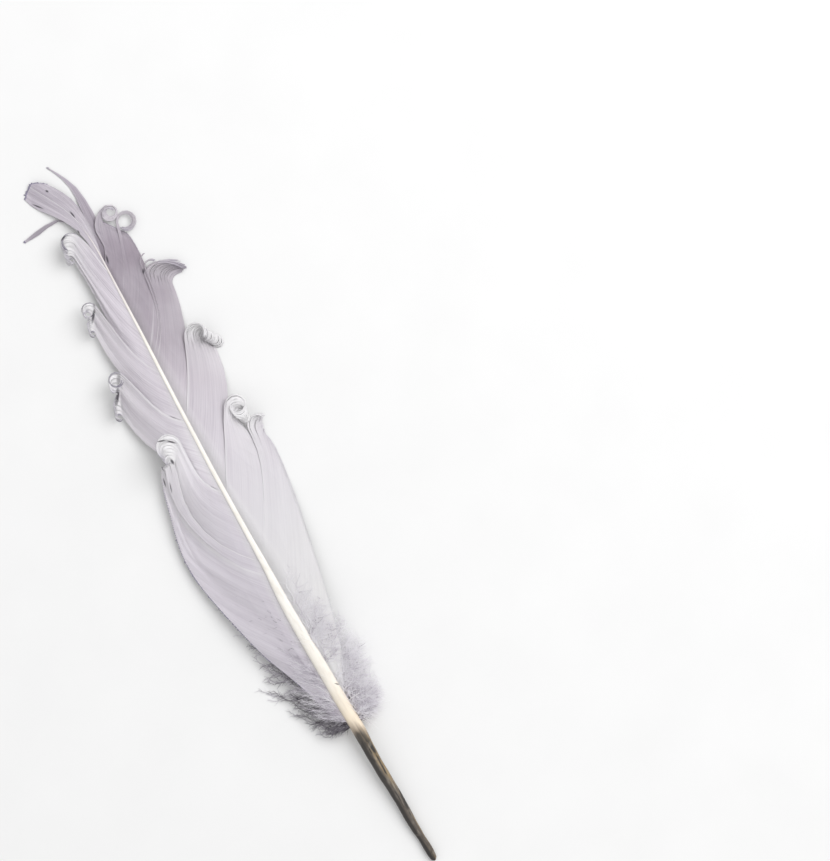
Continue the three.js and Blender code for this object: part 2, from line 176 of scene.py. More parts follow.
def shaft_mesh():
    """Rings of a superellipse, |y|^p + |z|^p = 1, whose exponent p grows from quill to shaft. Narrow
    bells subtracted from the radius make the groove on the underside, the waist near the quill's
    end and the nick in its side. Slow waves along and around the quill make it slightly uneven."""
    x = np.r_[0, 0.15, 0.4, np.arange(CLOSING, SHAFT_END, SHAFT_STEP), SHAFT_END]
    turn = np.linspace(0, 2 * math.pi, SHAFT_SIDES, endpoint=False)
    along, around = np.meshgrid(x, turn, indexing="ij")
    grown = np.clip((along - BOXY_FROM) / BOXY_OVER, 0, 1)
    power = ROUNDNESS[0] + (ROUNDNESS[1] - ROUNDNESS[0]) * grown
    reach = (np.abs(np.cos(around)) ** power + np.abs(np.sin(around)) ** power) ** (-1 / power)
    from_below = (around - BELOW) / GROOVE_WIDTH
    reach *= 1 - GROOVE_DEPTH * grown * np.exp(-(from_below**2))
    quill = 1 - np.clip((along - WAVES_UNTIL) / WAVES_FADE, 0, 1)
    wave = np.sin(0.9 * along + 0.6 * np.sin(2 * around)) + 0.7 * np.sin(0.43 * along + 2 * around + 1)
    reach *= 1 + WAVE_DEPTH * quill * wave * np.clip(along / 6, 0, 1)
    waist = np.exp(-(((along - WAIST_AT) / WAIST_LENGTH) ** 2)) * (0.75 + 0.25 * np.cos(around - 0.4))
    reach *= 1 - WAIST_DEPTH * waist
    from_nick = ((along - NICK_AT) / NICK_LENGTH) ** 2 + ((around - NICK_SIDE) / NICK_SPREAD) ** 2
    reach *= 1 - NICK_DEPTH * np.exp(-from_nick)
    half = 0.5 * shaft_at(along, 2)
    closed = np.sqrt(np.clip(1 - (CLOSING - along) ** 2 / 0.7, 0.05, 1))
    half = half * np.where(along < CLOSING, closed, 1)
    y = shaft_at(along, 0) + half * reach * np.cos(around)
    z = np.maximum(shaft_middle(along) + half * reach * np.sin(around), LOWEST_HORN)
    points = np.stack([along, y, z], -1).reshape(-1, 3)
    rings, sides = along.shape
    ring, side = np.meshgrid(np.arange(rings - 1), np.arange(sides), indexing="ij")
    a = ring * sides + side
    b = ring * sides + (side + 1) % sides
    faces = np.stack([a, b, b + sides, a + sides], -1).reshape(-1, 4)
    ends = np.array([(0.0, shaft_at(0, 0), shaft_middle(0)),
                     (SHAFT_END, shaft_at(SHAFT_END, 0), shaft_middle(SHAFT_END))])
    first, last = len(points), len(points) + 1
    spin = np.arange(sides)
    spun = (spin + 1) % sides
    blank = np.full(sides, -1)
    start = np.stack([spun, spin, np.full(sides, first), blank], -1)
    final = (rings - 1) * sides
    stop = np.stack([final + spin, final + spun, np.full(sides, last), blank], -1)
    uv = np.stack([along / SHAFT_END, around / (2 * math.pi)], -1).reshape(-1, 2)
    uv = np.vstack([uv, [(0, 0.5), (1, 0.5)]])
    plain = np.zeros(len(uv))
    return np.vstack([points, ends]), np.vstack([faces, start, stop]), uv, plain, plain


def new_material(name):
    """An empty node material with its shader and output."""
    material = bpy.data.materials.new(name)
    material.use_nodes = True
    tree = material.node_tree
    tree.nodes.clear()
    output = tree.nodes.new("ShaderNodeOutputMaterial")
    shader = tree.nodes.new("ShaderNodeBsdfPrincipled")
    tree.links.new(shader.outputs["BSDF"], output.inputs["Surface"])
    return material, tree, shader, output


def put(tree, value, socket):
    """Feeds an input from another node's socket, or gives it a fixed value."""
    if isinstance(value, bpy.types.NodeSocket):
        tree.links.new(value, socket)
    else:
        socket.default_value = value


def ramp(tree, factor, stops):
    """A colour ramp over the factor, through (place, colour) stops."""
    made = tree.nodes.new("ShaderNodeValToRGB")
    band = made.color_ramp
    while len(band.elements) < len(stops):
        band.elements.new(0.5)
    for element, (place, colour) in zip(band.elements, stops):
        element.position = place
        element.color = (*colour, 1)
    tree.links.new(factor, made.inputs["Fac"])
    return made.outputs["Color"]


def mapped(tree, value, low, high, to_low=0.0, to_high=1.0):
    """A value carried from one range to another, kept inside the second."""
    made = tree.nodes.new("ShaderNodeMapRange")
    for label, given in (("Value", value), ("From Min", low), ("From Max", high),
                         ("To Min", to_low), ("To Max", to_high)):
        put(tree, given, made.inputs[label])
    return made.outputs["Result"]


def maths(tree, operation, *values):
    """One maths step on values, each a socket or a number."""
    made = tree.nodes.new("ShaderNodeMath")
    made.operation = operation
    for socket, value in zip(made.inputs, values):
        put(tree, value, socket)
    return made.outputs["Value"]


def blended(tree, factor, colour, toward):
    """The colour mixed by a factor with a fixed one."""
    made = tree.nodes.new("ShaderNodeMix")
    made.data_type = "RGBA"
    first, second = (socket for socket in made.inputs if socket.type == "RGBA")
    tree.links.new(factor, made.inputs["Factor"])
    tree.links.new(colour, first)
    second.default_value = (*toward, 1)
    return next(socket for socket in made.outputs if socket.type == "RGBA")


def split(tree, vector):
    """The three numbers of a vector, by name."""
    made = tree.nodes.new("ShaderNodeSeparateXYZ")
    tree.links.new(vector, made.inputs[0])
    return made.outputs


def noise(tree, vector, scale, detail=3.0, stretch=None):
    """Soft random values from 0 to 1 over the given coordinates, stretched along their axes."""
    if stretch is not None:
        mapping = tree.nodes.new("ShaderNodeMapping")
        mapping.inputs["Scale"].default_value = stretch
        tree.links.new(vector, mapping.inputs["Vector"])
        vector = mapping.outputs["Vector"]
    made = tree.nodes.new("ShaderNodeTexNoise")
    made.inputs["Scale"].default_value = scale
    made.inputs["Detail"].default_value = detail
    tree.links.new(vector, made.inputs["Vector"])
    return made.outputs["Fac"]


def bump(tree, shader, height, strength, distance):
    """Raises the shader's surface by a height pattern."""
    made = tree.nodes.new("ShaderNodeBump")
    made.inputs["Strength"].default_value = strength
    made.inputs["Distance"].default_value = distance
    tree.links.new(height, made.inputs["Height"])
    tree.links.new(made.outputs["Normal"], shader.inputs["Normal"])


def new_group(name, inputs, output):
    """A node group with named inputs, as (name, socket type, value at rest), and one output."""
    group = bpy.data.node_groups.new(name, "ShaderNodeTree")
    for label, kind, value in inputs:
        socket = group.interface.new_socket(label, in_out="INPUT", socket_type=kind)
        if value is not None:
            socket.default_value = value
    group.interface.new_socket(output[0], in_out="OUTPUT", socket_type=output[1])
    given = group.nodes.new("NodeGroupInput").outputs
    return group, given, group.nodes.new("NodeGroupOutput").inputs[output[0]]


def placed(tree, group, **values):
    """The group set in a tree. Its inputs are given by name, with _ for a space."""
    made = tree.nodes.new("ShaderNodeGroup")
    made.node_tree = group
    for label, value in values.items():
        put(tree, value, made.inputs[label.replace("_", " ")])
    return made.outputs[0]


def dark_spot_group():
    """A mask as strong as its depth inside one ellipse, whatever the height, that fades at its rim:
    the length of the place's vector from the middle, turned and divided by the half sizes."""
    group, given, made = new_group("dark_spot", [
        ("Place", "NodeSocketVector", None),
        ("Middle", "NodeSocketVector", (0, 0, 0)),
        ("Turn", "NodeSocketVector", (0, 0, 0)),
        ("Half size", "NodeSocketVector", (1, 1, 1)),
        ("Depth", "NodeSocketFloat", 0.9),
    ], ("Mask", "NodeSocketFloat"))
    mapping = group.nodes.new("ShaderNodeMapping")
    mapping.vector_type = "TEXTURE"
    for label, socket in (("Place", "Vector"), ("Middle", "Location"), ("Turn", "Rotation"),
                          ("Half size", "Scale")):
        group.links.new(given[label], mapping.inputs[socket])
    length = group.nodes.new("ShaderNodeVectorMath")
    length.operation = "LENGTH"
    group.links.new(mapping.outputs["Vector"], length.inputs[0])
    inside = mapped(group, length.outputs["Value"], 0.5, 1.3, 1, 0)
    group.links.new(maths(group, "MULTIPLY", inside, given["Depth"]), made)
    return group


dark_spot = dark_spot_group()


def dark_place(tree, place, x, y, angle, half_length, half_width, depth=0.9):
    """A dark spot whose middle is measured as the stations are, in mm, with its angle in degrees
    from the shaft."""
    return placed(
        tree, dark_spot, Place=place, Middle=(ORIGIN[0] + x * MM, ORIGIN[1] + y * MM, 0),
        Turn=(0, 0, math.radians(angle)), Half_size=(half_length * MM, half_width * MM, 1000),
        Depth=depth)


HORN_START, HORN_STOP = 3, 223    # the ends of its colour ramp, in mm from the quill end
# Small dark marks on the horn: distance from the quill end, sideways, angle, half length, half width.
HORN_NICKS = [(59.3, -3.1, 39, 0.8, 0.18), (34.0, -1.6, 75, 0.7, 0.15), (9.0, 0.5, 60, 0.8, 0.25)]


def horn_material():
    """Horn: dark grey-brown at the quill with long streaks, a ragged change to warm cream, and
    white along the shaft. The quill is olive in streaks on its right flank, near black on its left
    one, partly its own colour and partly painted shade on the side away from the lamp, and sooty
    and pale in patches. Small nicks are dark. Fine scuffs along the grain break its gloss."""
    material, tree, shader, _ = new_material("horn")
    coordinates = tree.nodes.new("ShaderNodeTexCoord").outputs
    place = coordinates["Object"]
    around = split(tree, coordinates["UV"])["Y"]
    quill_x = float(ORIGIN[0])
    streaks = noise(tree, place, 260, 4, (0.08, 1, 1))
    fine = noise(tree, place, 1500, 3, (0.06, 1, 1))
    blotch = noise(tree, place, 160, 3)
    ragged = maths(tree, "MULTIPLY_ADD", streaks, 0.016, split(tree, place)["X"])
    ragged = maths(tree, "MULTIPLY_ADD", blotch, 0.004, ragged)
    along = mapped(tree, ragged, quill_x + HORN_START * MM, quill_x + HORN_STOP * MM)
    grown = ramp(tree, along, [
        (0.0, (0.070, 0.056, 0.046)),
        (0.10, (0.115, 0.096, 0.080)),
        (0.18, (0.145, 0.128, 0.108)),
        (0.222, (0.17, 0.140, 0.105)),
        (0.230, (0.62, 0.50, 0.38)),
        (0.250, (0.86, 0.75, 0.60)),
        (0.31, (0.87, 0.82, 0.74)),
        (0.42, (0.90, 0.87, 0.82)),
        (0.80, (0.92, 0.88, 0.82)),
        (0.95, (0.72, 0.67, 0.68)),
    ])
    dark = mapped(tree, along, 0.215, 0.245, 1, 0)
    right_flank = maths(tree, "MULTIPLY", mapped(tree, around, 0.24, 0.31),
                        mapped(tree, around, 0.55, 0.45))
    olive = maths(tree, "MULTIPLY", mapped(tree, streaks, 0.36, 0.52), right_flank)
    olive = maths(tree, "MULTIPLY", olive, dark)
    colour = blended(tree, olive, grown, (0.25, 0.18, 0.095))
    grain = noise(tree, place, 1100, 4, (0.25, 1, 1))
    colour = blended(tree, mapped(tree, grain, 0.48, 0.68, 0, 0.28), colour, (0.62, 0.56, 0.48))
    coarse = noise(tree, place, 420, 4, (0.12, 1, 1))
    soot = maths(tree, "MAXIMUM", mapped(tree, fine, 0.52, 0.66), mapped(tree, coarse, 0.52, 0.60))
    colour = blended(tree, maths(tree, "MULTIPLY", soot, dark), colour, (0.040, 0.035, 0.032))
    pale = maths(tree, "MULTIPLY", mapped(tree, blotch, 0.60, 0.72), dark)
    colour = blended(tree, maths(tree, "MULTIPLY", pale, 0.5), colour, (0.36, 0.32, 0.27))
    # The left flank is near black: partly the quill's own colour, partly painted shade on the side
    # away from the lamp.
    left_flank = maths(tree, "MULTIPLY", mapped(tree, around, 0.29, 0.20, 0, 0.9), dark)
    colour = blended(tree, left_flank, colour, (0.035, 0.031, 0.030))
    for nick in HORN_NICKS:
        colour = blended(tree, dark_place(tree, place, *nick), colour, (0.10, 0.085, 0.075))
    tree.links.new(colour, shader.inputs["Base Color"])
    tree.links.new(mapped(tree, fine, 0.3, 0.7, 0.36, 0.58), shader.inputs["Roughness"])
    shader.inputs["Specular IOR Level"].default_value = 0.35
    lumps = noise(tree, place, 520, 2, (0.5, 1, 1))
    bump(tree, shader, maths(tree, "MULTIPLY_ADD", lumps, 2.5, fine), 0.4, 0.00012)
    return material


mesh_piece("shaft_horn", shaft_mesh(), horn_material(), "shaft", "quill_horn")

# ---- Left vane -------------------------------------------------------------------------------
# The narrow side of the vane: barbs a few centimetres long, rooted along the shaft and zipped
# side by side. Curling has parted them into five locks that roll up at their ends. A lock is
# spread over a few guide barbs, and every barb in it is a strip of its own.

LEFT, RIGHT = 1, -1
LEFT_DROOP, RIGHT_DROOP = 7.6, 8.9           # fall of the vane at DROOP_REACH from the shaft, in mm
DROOP_REACH, LEFT_POWER, RIGHT_POWER = 19.5, 1.6, 1.3
ROOT_RISE, RISE_REACH = 0.18, 3.5            # of barbs at the shaft: share of its width, fade in mm
LOWEST_BARB = 0.25                # barbs stay this far above the floor, in mm
BARB_PITCH = 0.31                 # from one barb's root to the next, along the shaft
PATH_POINTS, CURL_POINTS = 9, 11
ACROSS_GRID, ALONG_GRID = 161, 64
CLUMP, GATHER = 9, 0.22           # barbs in a clump, and how far they close up before their curl
RADIUS_VARIES, TURNS_VARY = (0.02, 0.02), (0.05, 0.03)       # shares, by clump and by barb
FINE_SWAY, BROAD_SWAY = 9, 23     # barbs from one random rise of the sheet to the next
TIP_STRAY = 0.105                 # how far the barbs' tips stray sideways, in mm
COVER = 0.72                      # half a barb's width, as a share of the gap to the next one
NARROWEST, NARROWEST_CURLED, WIDEST = 0.10, 0.17, 0.42       # limits of that half width, in mm
SHINGLE = 12                      # lean of each barb on the next one, in degrees
rng = np.random.default_rng(7)


def barb(root, path, curl=(5.0, 0.02, 1.0, 0.0, 90.0)):
    """A guide barb: its root's distance along the shaft, the points it passes with their height
    above the drooping vane, and its curl: radius, turns, share of the radius left at the end,
    rise in mm a turn, and tilt, 90 for a flat curl and 0 for one that rolls straight up. A curl
    whose share is over 1 opens out."""
    return root, path, curl


def vane_height(x, y):
    """Height of the drooping vane: the shaft's middle less a power of the reach beside it, which
    has its own fall and power on each side. A bell is added near the shaft, because barbs are
    rooted high on its flank."""
    sideways = y - shaft_at(x, 0)
    reach = np.maximum(np.abs(sideways) - 0.5 * shaft_at(x, 2), 0)
    droop = np.where(sideways > 0, LEFT_DROOP, RIGHT_DROOP)
    power = np.where(sideways > 0, LEFT_POWER, RIGHT_POWER)
    rise = ROOT_RISE * shaft_at(x, 2) * np.exp(-((reach / RISE_REACH) ** 2))
    return shaft_middle(x) + rise - droop * (reach / DROOP_REACH) ** power


def guide_path(root, path, side):
    """One guide barb as ALONG_GRID points at equal arc steps, on the spline through its points
    by chord length. Its first point is just inside the shaft's flank."""
    flank = side * (0.48 * shaft_at(root, 2) - 0.06)
    points = np.array([(root, shaft_at(root, 0) + flank, min(path[0][2], 0)), *path], float)
    knots = np.r_[0, np.cumsum(np.linalg.norm(np.diff(points[:, :2], axis=0), axis=1))]
    fine = through(points, knots, np.linspace(0, knots[-1], 200))
    fine[:, 2] += vane_height(fine[:, 0], fine[:, 1])
    arc = np.r_[0, np.cumsum(np.linalg.norm(np.diff(fine, axis=0), axis=1))]
    even = np.linspace(0, arc[-1], ALONG_GRID)
    return np.stack([np.interp(even, arc, fine[:, i]) for i in range(3)], -1)


def read_grid(grid, across, along):
    """The grid's rows read at fractions across and along, both from 0 to 1, by two-way linear
    steps."""
    u = np.clip(across, 0, 1) * (grid.shape[0] - 1)
    v = np.clip(along, 0, 1) * (grid.shape[1] - 1)
    i = np.minimum(u.astype(int), grid.shape[0] - 2)
    j = np.minimum(v.astype(int), grid.shape[1] - 2)
    fu, fv = (u - i)[..., None], (v - j)[..., None]
    near = grid[i, j] * (1 - fv) + grid[i, j + 1] * fv
    far = grid[i + 1, j] * (1 - fv) + grid[i + 1, j + 1] * fv
    return near * (1 - fu) + far * fu


def unit(vectors):
    """Vectors brought to length 1."""
    return vectors / np.maximum(np.linalg.norm(vectors, axis=-1, keepdims=True), 1e-9)


def slow_noise(count, pitch, strength):
    """Random numbers at every pitch-th place with a spline between them."""
    knots = np.arange(0, count + 2 * pitch, pitch, dtype=float)
    return strength * through(rng.normal(size=(len(knots), 1)), knots, np.arange(count))[:, 0]


def curled_lines(grid, curls, across, reach, side):
    """Centre lines of barbs: the path read off the grid as far as its reach, then the curl. A curl
    is a logarithmic spiral, radius times left ** share, in short steps that rise as they turn."""
    along = 1 - (1 - np.linspace(0, 1, PATH_POINTS)) ** 1.3
    path = read_grid(grid, across, along * reach[:, None])
    radius, turns, left, rise, tilt = (c[:, None] for c in curls.T)
    forward = unit(path[:, -1] - path[:, -2])
    sideways = unit(np.cross((0, 0, side), forward))
    up = np.cross(forward, sideways) * side
    lean = np.radians(tilt)
    inward = sideways * np.sin(lean) + up * np.cos(lean)
    share = (np.arange(CURL_POINTS) + 0.5) / CURL_POINTS
    turn = turns * 2 * math.pi / CURL_POINTS
    angle = turns * 2 * math.pi * share
    step = radius * left**share * turn
    moves = step[..., None] * (
        forward[:, None] * np.cos(angle)[..., None] + inward[:, None] * np.sin(angle)[..., None]
    )
    moves[..., 2] += rise * turn / (2 * math.pi)
    return np.concatenate([path, path[:, -1:] + np.cumsum(moves, 1)], 1)


def strips(lines, across, half_width, height, shingle):
    """Closed three-sided strips along centre lines. Each ring has an edge, a ridge and an edge:
    the centre less and plus the half width across the barb, and the height along the normal. The
    width direction leans by the shingle angle, so that barbs lie on one another as tiles do."""
    along = unit(np.gradient(lines, axis=1))
    level = unit(across - (across * along).sum(-1, keepdims=True) * along)
    upright = np.cross(level, along)
    lean = math.radians(shingle)
    across = level * math.cos(lean) + upright * math.sin(lean)
    normal = upright * math.cos(lean) - level * math.sin(lean)
    rings = np.stack([
        lines - across * half_width[..., None],
        lines + normal * height[..., None],
        lines + across * half_width[..., None],
    ], 2)
    count, steps = lines.shape[:2]
    first = np.arange(count)[:, None, None] * steps * 3
    ring = np.arange(steps - 1)[None, :, None] * 3
    corner = np.arange(3)[None, None, :]
    a = first + ring + corner
    b = first + ring + (corner + 1) % 3
    sides = np.stack([a, b, b + 3, a + 3], -1).reshape(-1, 4)
    start = np.arange(count) * steps * 3
    end = start + (steps - 1) * 3
    blank = np.full(count, -1)
    roots = np.stack([start, start + 2, start + 1, blank], -1)
    tips = np.stack([end, end + 1, end + 2, blank], -1)
    return rings.reshape(-1, 3), np.vstack([sides, roots, tips])


def lock_barbs(guides, side, waviness=0.07, dark=0.0, ragged=0.0):
    """All barbs of one sheet. Guides are splined across by root, so barbs are BARB_PITCH apart at
    the shaft. Before they curl, each barb moves to the middle of its clump by a share, and each
    clump's curl has its own radius and turns, so that the strands lie inside one another. A barb
    is as wide as its gap to the next one asks. Its tone is half its own and half that of a few
    neighbours, plus dark. Ragged is the largest share that is missing from a clump's end."""
    roots = np.array([g[0] for g in guides], float)
    knots = (roots - roots[0]) / (roots[-1] - roots[0])
    paths = np.stack([guide_path(g[0], g[1], side) for g in guides])
    grid = through(paths, knots, np.linspace(0, 1, ACROSS_GRID))
    count = max(int(round((roots[-1] - roots[0]) / BARB_PITCH)), 3)
    place = np.linspace(0, 1, count)
    curls = np.array([g[2] for g in guides], float)
    curls = np.stack([np.interp(place, knots, c) for c in curls.T], -1)
    steady = curled_lines(grid, curls, np.repeat(place[:, None], PATH_POINTS, 1),
                          np.ones(count), side)

    clumps = np.floor(np.arange(count) / CLUMP + 0.3 * rng.random(count)).astype(int)
    clump_count = clumps.max() + 1
    middles = np.array([place[clumps == c].mean() for c in range(clump_count)])
    curled = np.clip(curls[:, 1:2] / 0.4, 0, 1)
    pull = GATHER * curled * np.clip((np.linspace(0, 1, PATH_POINTS) - 0.7) / 0.3, 0, 1) ** 2
    across = place[:, None] + (middles[clumps] - place)[:, None] * pull
    for column, (by_clump, by_barb) in enumerate((RADIUS_VARIES, TURNS_VARY)):
        shared = by_clump * rng.normal(size=clump_count)[clumps]
        curls[:, column] *= 1 + shared + by_barb * rng.normal(size=count)
    reach = 1 - ragged * (0.7 * rng.random(clump_count)[clumps] + 0.3 * rng.random(count))
    lines = curled_lines(grid, curls, across, reach, side)

    steps = lines.shape[1]
    share = np.linspace(0, 1, steps)
    sway = slow_noise(count, FINE_SWAY, waviness)[:, None] * np.sin(share * math.pi)
    sway += slow_noise(count, BROAD_SWAY, 2.2 * waviness)[:, None] * share * (1 - share) * 2
    stray = TIP_STRAY * rng.normal(size=count)[:, None] * share**6
    lines[..., 2] += sway + rng.normal(size=count)[:, None] * 0.02 * share
    lines[..., :2] += stray[..., None]
    lines[..., 2] = np.maximum(lines[..., 2], LOWEST_BARB)

    forward = unit(np.gradient(steady, axis=1))
    spacing = np.gradient(steady, axis=0)
    apart = spacing - (spacing * forward).sum(-1, keepdims=True) * forward
    width = np.clip(COVER * np.linalg.norm(apart, axis=-1), NARROWEST, WIDEST)
    width[:, PATH_POINTS:] = np.maximum(width[:, PATH_POINTS:], NARROWEST_CURLED)
    width *= 1 - 0.45 * np.clip((share - 0.95) / 0.05, 0, 1)
    height = np.clip(0.32 * width, 0.04, 0.08)
    level = np.cross(np.gradient(lines, axis=1), (0, 0, 1))
    points, faces = strips(lines, level, width, height, SHINGLE)
    uv = np.stack([
        np.broadcast_to(share[None, :, None], (count, steps, 3)),
        np.broadcast_to(place[:, None, None], (count, steps, 3)),
    ], -1).reshape(-1, 2)
    pairs = np.cumsum(rng.random(count) < 0.4)
    tone = rng.random(count) * 0.5 + 0.5 * rng.random(pairs.max() + 1)[pairs] + dark
    step = np.arange(steps) / PATH_POINTS
    nearing = np.clip((step - 0.3) / 0.6, 0, 1)
    turning = np.clip((step - 0.8) / 0.4, 0, 1)
    into_curl = curled * (0.45 * nearing + 0.55 * turning)
    return points, faces, uv, np.repeat(tone, steps * 3), np.repeat(into_curl, 3, 1).ravel()


def joined(*sets):
    """Several sets of strips as one, with their corners renumbered."""
    points, faces, uv, tones, curls = zip(*sets)
    starts = np.cumsum([0, *map(len, points[:-1])])
    faces = [np.where(f < 0, -1, f + s) for f, s in zip(faces, starts)]
    return (np.vstack(points), np.vstack(faces), np.vstack(uv), np.concatenate(tones),
            np.concatenate(curls))


# Places where shade gathers in slits, notches and hollow curls, as ellipses on the vane: distance
# from the quill end, sideways, angle from the shaft, half length and half width, and a depth where
# it isn't the usual one.
DARK_PLACES = [
    (224.1, -2.4, 35, 1.7, 0.22), (216.6, -9.85, 8, 1.2, 0.25), (226.4, -7.1, 30, 0.5, 0.3),
    (199.9, -11.6, -18, 1.3, 0.3), (191.5, -18.6, -21, 0.8, 0.35),
    (146.2, 2.5, 68, 1.3, 0.24), (144.6, 0.4, 42, 1.5, 0.24), (139.6, 3.3, 0, 0.9, 0.4),
    (145.6, 5.2, -31, 1.2, 0.2), (142.0, 6.3, 0, 0.9, 0.22),
    (139.6, 6.9, -10, 1.0, 0.16), (135.7, 8.7, -15, 1.3, 0.2), (133.4, 7.9, -21, 1.6, 0.16),
    (164.3, 7.0, -40, 2.4, 0.45), (168.2, 4.1, -33, 2.0, 0.6, 0.5),
    (188.1, 0.5, -43, 2.2, 0.4), (191.0, -1.7, -37, 1.5, 0.45, 0.5),
    (211.8, -4.1, -65, 1.0, 0.28), (212.3, -6.9, 80, 0.5, 0.2), (211.3, -8.7, 0, 0.6, 0.2),
]
CURL_WHITE = 0.9                  # how far a curl's colour goes to white, as painted light
VANE_START, VANE_STOP = 50, 230   # the ends of the colour ramps, in mm from the quill end


def attribute(tree, label):
    """A number that the mesh keeps for each point."""
    made = tree.nodes.new("ShaderNodeAttribute")
    made.attribute_name = label
    return made.outputs["Fac"]


def barb_colour_group():
    """The colour of zipped barbs, from the ground colour at their place along the shaft. Each barb
    has its own tone, fine streaks and, to the tip, veins. Its foot, the far edge of a lock and its
    curl are whiter, and this is painted light: on the lifted edge and the curl it stands for the
    light they catch, and at the foot it paints away the shade beside the shaft. A flat barb ends
    in a darker line, partly its own colour and partly painted shade where the edge turns down.
    Strands seen on edge, the inner turns of a curl and its outermost strands are darker, as
    painted shade. Painted shade fills the slits. The inputs say how strong the lines are at the
    vane's foot, the painted white of the curls above it, their painted shade at it, the dark
    outline and the end line, and how long and how white the painted light at a barb's foot is."""
    group, given, made = new_group("barb_colour", [
        ("Ground", "NodeSocketColor", None),
        ("Along", "NodeSocketFloat", None),
        ("Lines at foot", "NodeSocketFloat", 1.0),
        ("White above", "NodeSocketFloat", CURL_WHITE),
        ("Shade at foot", "NodeSocketFloat", 1.0),
        ("Outline", "NodeSocketFloat", 0.0),
        ("End line", "NodeSocketFloat", 1.0),
        ("Foot reach", "NodeSocketFloat", 0.03),
        ("Foot white", "NodeSocketFloat", 0.5),
    ], ("Colour", "NodeSocketColor"))
    colour, along = given["Ground"], given["Along"]
    coordinates = group.nodes.new("ShaderNodeTexCoord").outputs
    place = coordinates["Object"]
    pattern = split(group, coordinates["UV"])
    barb_share, lock_share = pattern["X"], pattern["Y"]
    tone, curl = attribute(group, "tone"), attribute(group, "curl")

    def tint(colour, factor, toward, *shares):
        """The colour blended toward another by a factor times further shares."""
        for share in shares:
            factor = maths(group, "MULTIPLY", factor, share)
        return blended(group, factor, colour, toward)

    def patches(scale, detail, stretch, low, high):
        """Patches on the barbs' own coordinates, as noise between two levels."""
        return mapped(group, noise(group, coordinates["UV"], scale, detail, stretch), low, high)

    cloud = noise(group, place, 90, 3)
    colour = tint(colour, mapped(group, cloud, 0.35, 0.7, 0, 0.25), (0.90, 0.88, 0.92))
    lines = mapped(group, along, 0.38, 0.52, given["Lines at foot"])
    colour = tint(colour, maths(group, "POWER", tone, 2.0), (0.24, 0.20, 0.26), 0.13, lines)
    colour = tint(colour, patches(1.0, 4, (4, 110, 1), 0.46, 0.72), (0.48, 0.43, 0.50),
                  mapped(group, along, 0.35, 0.75, 0.3, 0.48), lines)
    colour = tint(colour, patches(1.0, 3, (2, 26, 1), 0.50, 0.62), (0.36, 0.32, 0.38),
                  mapped(group, along, 0.55, 0.94, 0.04, 0.5))
    colour = tint(colour, patches(1.7, 2, (2, 20, 1), 0.56, 0.66), (0.86, 0.82, 0.87),
                  mapped(group, along, 0.88, 0.94, 0, 0.4))

    # Painted light: curls and the lifted far edge of each lock are coloured whiter, for the light they
    # catch.
    white = mapped(group, along, 0.68, 0.74, CURL_WHITE, given["White above"])
    rim = maths(group, "MULTIPLY", mapped(group, lock_share, 0.93, 0.99, 0, 0.5), lines)
    whiter = maths(group, "MULTIPLY", maths(group, "MAXIMUM", curl, rim), white)
    # Painted light: the foot of each barb is paler, to paint away the shade beside the shaft.
    foot = maths(group, "DIVIDE", barb_share, given["Foot reach"])
    foot = maths(group, "MULTIPLY", mapped(group, foot, 0, 1, 1, 0), given["Foot white"])
    foot = maths(group, "MULTIPLY", foot, mapped(group, along, 0.5, 0.8, 1, 0))
    colour = tint(colour, maths(group, "MAXIMUM", whiter, foot), (0.97, 0.96, 0.97))

    # Painted shade: the inner turns of a curl are darker, and on the wide side less so near the foot.
    dimmed = mapped(group, along, 0.68, 0.74, given["Shade at foot"])
    colour = tint(colour, mapped(group, barb_share, 0.78, 1.0, 0, 0.55), (0.50, 0.46, 0.56),
                  mapped(group, curl, 0.6, 1.0), dimmed)
    # Painted shade: faces that stand steep in a curl are darker, whatever the light.
    geometry = group.nodes.new("ShaderNodeNewGeometry")
    flat_on = maths(group, "ABSOLUTE", split(group, geometry.outputs["True Normal"])["Z"])
    colour = tint(colour, mapped(group, flat_on, 0.15, 0.75, 0.75, 0), (0.20, 0.18, 0.25),
                  mapped(group, curl, 0.45, 0.9), dimmed)
    # Painted shade: a curl's outermost strands are darker, as a dark outline.
    from_middle = maths(group, "ABSOLUTE", maths(group, "SUBTRACT", lock_share, 0.5))
    colour = tint(colour, mapped(group, from_middle, 0.455, 0.475), (0.20, 0.18, 0.25),
                  mapped(group, curl, 0.55, 0.85), mapped(group, along, 0.55, 0.58),
                  given["Outline"])
    # The darker line at a flat barb's end: partly its own colour, partly painted shade where the edge
    # turns down.
    colour = tint(colour, mapped(group, barb_share, 0.56, 0.70), (0.19, 0.17, 0.29),
                  mapped(group, curl, 0, 0.3, 0.9, 0), given["End line"])

    shade = dark_place(group, place, *DARK_PLACES[0])
    for dark in DARK_PLACES[1:]:
        shade = maths(group, "MAXIMUM", shade, dark_place(group, place, *dark))
    colour = tint(colour, shade, (0.045, 0.04, 0.055))
    group.links.new(colour, made)
    return group


barb_colour = barb_colour_group()


def let_through(tree, shader, output, colour, share):
    """Mixes in a share of translucent shading, for a thin thing that light passes through."""
    through_light = tree.nodes.new("ShaderNodeBsdfTranslucent")
    tree.links.new(colour, through_light.inputs["Color"])
    mix = tree.nodes.new("ShaderNodeMixShader")
    mix.inputs["Fac"].default_value = share
    tree.links.new(shader.outputs["BSDF"], mix.inputs[1])
    tree.links.new(through_light.outputs["BSDF"], mix.inputs[2])
    tree.links.new(mix.outputs["Shader"], output.inputs["Surface"])


